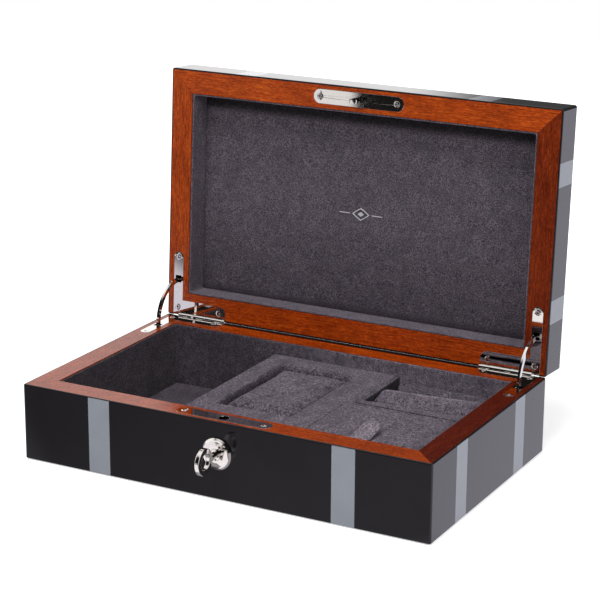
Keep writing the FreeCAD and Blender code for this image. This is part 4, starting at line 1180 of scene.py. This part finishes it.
def plate(outline):
    count = len(outline)
    faces = [tuple(range(count)), tuple(range(2 * count - 1, count - 1, -1))]
    for i in range(count):
        j = (i + 1) % count
        faces.append((i, j, j + count, i + count))
    return mark_points(outline), faces


def band(outer, inner):
    """A plate with a hole; both outlines have the same number of points."""
    count = len(outer)
    faces = []
    for i in range(count):
        low_in, high_out, high_in = (i + count * level for level in (1, 2, 3))
        step = (i + 1) % count - i
        faces += [
            (i, i + step, low_in + step, low_in),
            (high_out, high_in, high_in + step, high_out + step),
            (i, high_out, high_out + step, i + step),
            (low_in, low_in + step, high_in + step, high_in),
        ]
    return mark_points(outer + inner), faces


def lozenge(half_width, half_height):
    points = []
    for i in range(64):
        turn = 2 * math.pi * i / 64
        cos, sin = math.cos(turn), math.sin(turn)
        reach = 1.0 / (abs(cos) + abs(sin)) ** 0.82
        points.append((half_width * reach * cos, half_height * reach * sin))
    return points


def bar(centre, length=7.2, width=0.5, steps=6):
    points = []
    for side in (1, -1):
        for i in range(steps + 1):
            turn = -math.pi / 2 + math.pi * i / steps
            x = centre + side * (length / 2 + width / 2 * math.cos(turn))
            points.append((x, side * (width / 2 * math.sin(turn))))
    return points


def lid_mark():
    """A lozenge in a lozenge ring between two thin bars, in silver foil."""
    parts = [band(lozenge(6.2, 4.2), lozenge(5.3, 3.5)), plate(lozenge(2.2, 1.5))]
    parts += [plate(bar(11.8)), plate(bar(-11.8))]
    verts, faces, base = [], [], 0
    for part_verts, part_faces in parts:
        verts.append(opened(part_verts))
        faces += [tuple(i + base for i in face) for face in part_faces]
        base += len(part_verts)
    verts = np.vstack(verts)
    piece("lid_lozenge_mark", verts, faces, "lid", LOOKS["foil"], slot="nickel", smooth=False)


lid_mark()


# ------------------------------------------------------------- floor, in metres
def floor_material():
    """White to the camera, with a separate pattern of brightness for reflections."""
    mat = bpy.data.materials.new("studio_floor")
    mat.use_nodes = True
    sh = Shader(mat.node_tree)
    x, y, z = sh.split(sh.node("ShaderNodeNewGeometry").outputs["Position"])
    ray = sh.node("ShaderNodeLightPath").outputs
    # reflected: brighter to the right and back, and lifted beyond the slanted line side = 0
    side = sh.add(sh.sub(sh.math("ABSOLUTE", x), 0.14), sh.add(y, 0.085))
    far = sh.mul(
        sh.remap(y, over=(-0.75, -0.25), to=(0.12, 1.0)),
        sh.remap(x, over=(-0.30, 0.14), to=(0.15, 0.41)),
    )
    lift = sh.remap(side, over=(-0.03, 0.03), to=(0.0, 0.67))
    colour = sh.ramp(lift, [(0.0, (0.97, 0.93, 1.0)), (0.67, (0.90, 0.885, 1.0))])
    mirrored = sh.node("ShaderNodeEmission", {"Strength": sh.add(far, lift), "Color": colour})
    # seen: a diffuse white that glows more with distance from the box
    reach = sh.math("SQRT", sh.add(sh.mul(x, x), sh.mul(y, y)))
    level = sh.remap(reach, over=(0.18, 0.75), to=(0.52, 1.0))
    strength = sh.mul(ray["Is Camera Ray"], level)
    glow = sh.node("ShaderNodeEmission", {"Color": (1, 1, 1, 1), "Strength": strength})
    diffuse = sh.node("ShaderNodeBsdfDiffuse", {"Color": (0.88, 0.88, 0.885, 1.0)})
    seen = sh.node("ShaderNodeAddShader", {0: diffuse, 1: glow})
    mixed = sh.node("ShaderNodeMixShader", {0: ray["Is Glossy Ray"], 1: seen, 2: mirrored})
    sh.node("ShaderNodeOutputMaterial", {0: mixed})
    return mat


disc = bpy.data.meshes.new("floor")
edit(disc, lambda bm: bmesh.ops.create_circle(
    bm, cap_ends=True, cap_tris=False, segments=128, radius=1.6))
floor = linked("studio_floor", disc)
disc.materials.append(floor_material())


# ------------------------------------------------------------- world
def studio_world():
    """White to the camera, soft grey light, and bright cards seen only in reflections."""
    world = bpy.data.worlds.new("studio")
    scene.world = world
    world.use_nodes = True
    sh = Shader(world.node_tree)
    x, y, z = sh.split(sh.node("ShaderNodeTexCoord").outputs["Generated"])
    leftward = sh.mul(x, -1.0)

    def degrees(angle):
        return sh.mul(angle, math.degrees(1.0))

    elevation = degrees(sh.math("ARCSINE", z))
    back = degrees(sh.math("ARCTAN2", leftward, y))  # left of straight back
    front = degrees(sh.math("ARCTAN2", sh.mul(x, -1.0), sh.mul(y, -1.0)))  # left of front

    def window(value, span, blur):
        start, end = span
        rise = sh.remap(value, over=(start - blur, start + blur), to=(0.0, 1.0))
        return sh.mul(rise, sh.remap(value, over=(end - blur, end + blur), to=(1.0, 0.0)))

    def card(heading, spread, height, level, blur):
        """A bright rectangle in the sky; its spread, height and edge blurs are in degrees."""
        shape = sh.mul(window(heading, spread, blur[0]), window(elevation, height, blur[1]))
        return sh.mul(shape, level)

    total = sh.add(
        card(back, spread=(23.5, 85.0), height=(-12.0, 40.0), level=1.2, blur=(1.5, 4.0)),
        sh.remap(y, over=(-0.3, 0.1), to=(0.012, 0.10)),
    )
    for bright in (
        card(front, spread=(26.3, 33.5), height=(-14.0, 2.0), level=0.88, blur=(0.08, 1.0)),
        card(front, spread=(55.0, 100.0), height=(0.0, 45.0), level=1.1, blur=(3.0, 5.0)),
        card(back, spread=(-115.0, -60.0), height=(-12.0, 40.0), level=1.25, blur=(4.0, 5.0)),
        sh.remap(elevation, over=(42.0, 60.0), to=(0.0, 1.0)),  # the whole sky overhead
        card(back, spread=(24.0, 85.0), height=(-4.0, 13.0), level=0.22, blur=(1.5, 1.2)),
    ):
        total = sh.add(total, bright)

    def background(colour, strength):
        return sh.node("ShaderNodeBackground", {"Color": (*colour, 1.0), "Strength": strength})

    ray = sh.node("ShaderNodeLightPath").outputs
    soft = background((0.98, 0.985, 1.0), strength=0.30)
    shiny = background((1.0, 0.985, 0.985), strength=total)
    seen = background((1, 1, 1), strength=1.0)
    lit = sh.node("ShaderNodeMixShader", {0: ray["Is Glossy Ray"], 1: soft, 2: shiny})
    mixed = sh.node("ShaderNodeMixShader", {0: ray["Is Camera Ray"], 1: lit, 2: seen})
    sh.node("ShaderNodeOutputWorld", {0: mixed})
    if hasattr(world, "cycles"):  # present only while the Cycles add-on is enabled
        world.cycles.sampling_method = "NONE"


studio_world()


# ------------------------------------------------------------- lights
def area_light(name, at, size, power, colour=(1, 1, 1)):
    light = bpy.data.lights.new(name, "AREA")
    light.shape = "RECTANGLE"
    light.size, light.size_y = size
    light.energy = power
    light.color = colour
    obj = linked(name, light)
    obj.location = at
    obj.visible_camera = False
    return obj


def softbox(name, at, target, size, power):
    obj = area_light(name, at, size, power)
    obj.rotation_mode = "QUATERNION"
    obj.rotation_quaternion = (Vector(target) - Vector(at)).to_track_quat("-Z", "Y")
    obj.visible_glossy = False


def floor_card(name, x, y, size, level, receivers, colour=(1, 1, 1)):
    """A bright card just above the floor that only the named metal pieces reflect."""
    power = level * math.pi * size[0] * size[1]
    obj = area_light(name, (x, y, 0.0015), size, power, colour)
    obj.rotation_euler = (math.pi, 0.0, 0.0)
    obj.visible_diffuse = False
    group = bpy.data.collections.new(name + "_receivers")
    for node in receivers:
        group.objects.link(CAD[node])
    obj.light_linking.receiver_collection = group


softbox("top_softbox", at=(0.0, -0.45, 1.5), target=(0, 0.0, 0.05), size=(0.8, 0.6), power=14.5)
softbox("front_softbox", at=(-0.15, -1.45, 1.25), target=(0, 0.05, 0.1), size=(0.55, 0.4),
        power=15.0)
softbox("right_softbox", at=(1.4, -0.6, 0.8), target=(0, 0, 0.1), size=(0.8, 0.8), power=12.0)
floor_card("lock_card", x=-0.145, y=-0.24, size=(0.35, 0.25), level=0.78,
           receivers=["escutcheon", "key", "lock_plug"], colour=(1.0, 0.965, 1.0))
floor_card("hinge_card", x=-0.02, y=-0.42, size=(0.46, 0.30), level=0.74,
           receivers=["hinge_leaf_lid_right", "hinge_leaf_lid_left", "hinge_screws_lid"])

# ------------------------------------------------------------- camera and view
CAMERA_PLACE = (0.58228, -1.06524, 0.47112)
AZIMUTH = math.radians(28.171)  # to the right of straight in front
ELEVATION = math.radians(17.221)
ROLL = math.radians(0.348)

camera = bpy.data.cameras.new("camera")
camera.sensor_width = 36.0
camera.sensor_fit = "HORIZONTAL"
camera.lens = 123.2202
camera.shift_x = -0.00533333
camera.shift_y = 0.02066667
camera.clip_start, camera.clip_end = 0.05, 50
camera_object = linked("camera", camera)
backward = Vector((
    math.sin(AZIMUTH) * math.cos(ELEVATION),
    -math.cos(AZIMUTH) * math.cos(ELEVATION),
    math.sin(ELEVATION),
))
level_right = (-backward).cross(Vector((0, 0, 1))).normalized()
level_up = level_right.cross(-backward)
right = level_right * math.cos(ROLL) + level_up * math.sin(ROLL)
up = level_up * math.cos(ROLL) - level_right * math.sin(ROLL)
rows = [(*axes, place) for *axes, place in zip(right, up, backward, CAMERA_PLACE)]
camera_object.matrix_world = Matrix((*rows, (0, 0, 0, 1)))
scene.camera = camera_object
scene.view_settings.view_transform = "Standard"
scene.view_settings.look = "None"
scene.view_settings.exposure = 0.0
scene.view_settings.gamma = 1.0
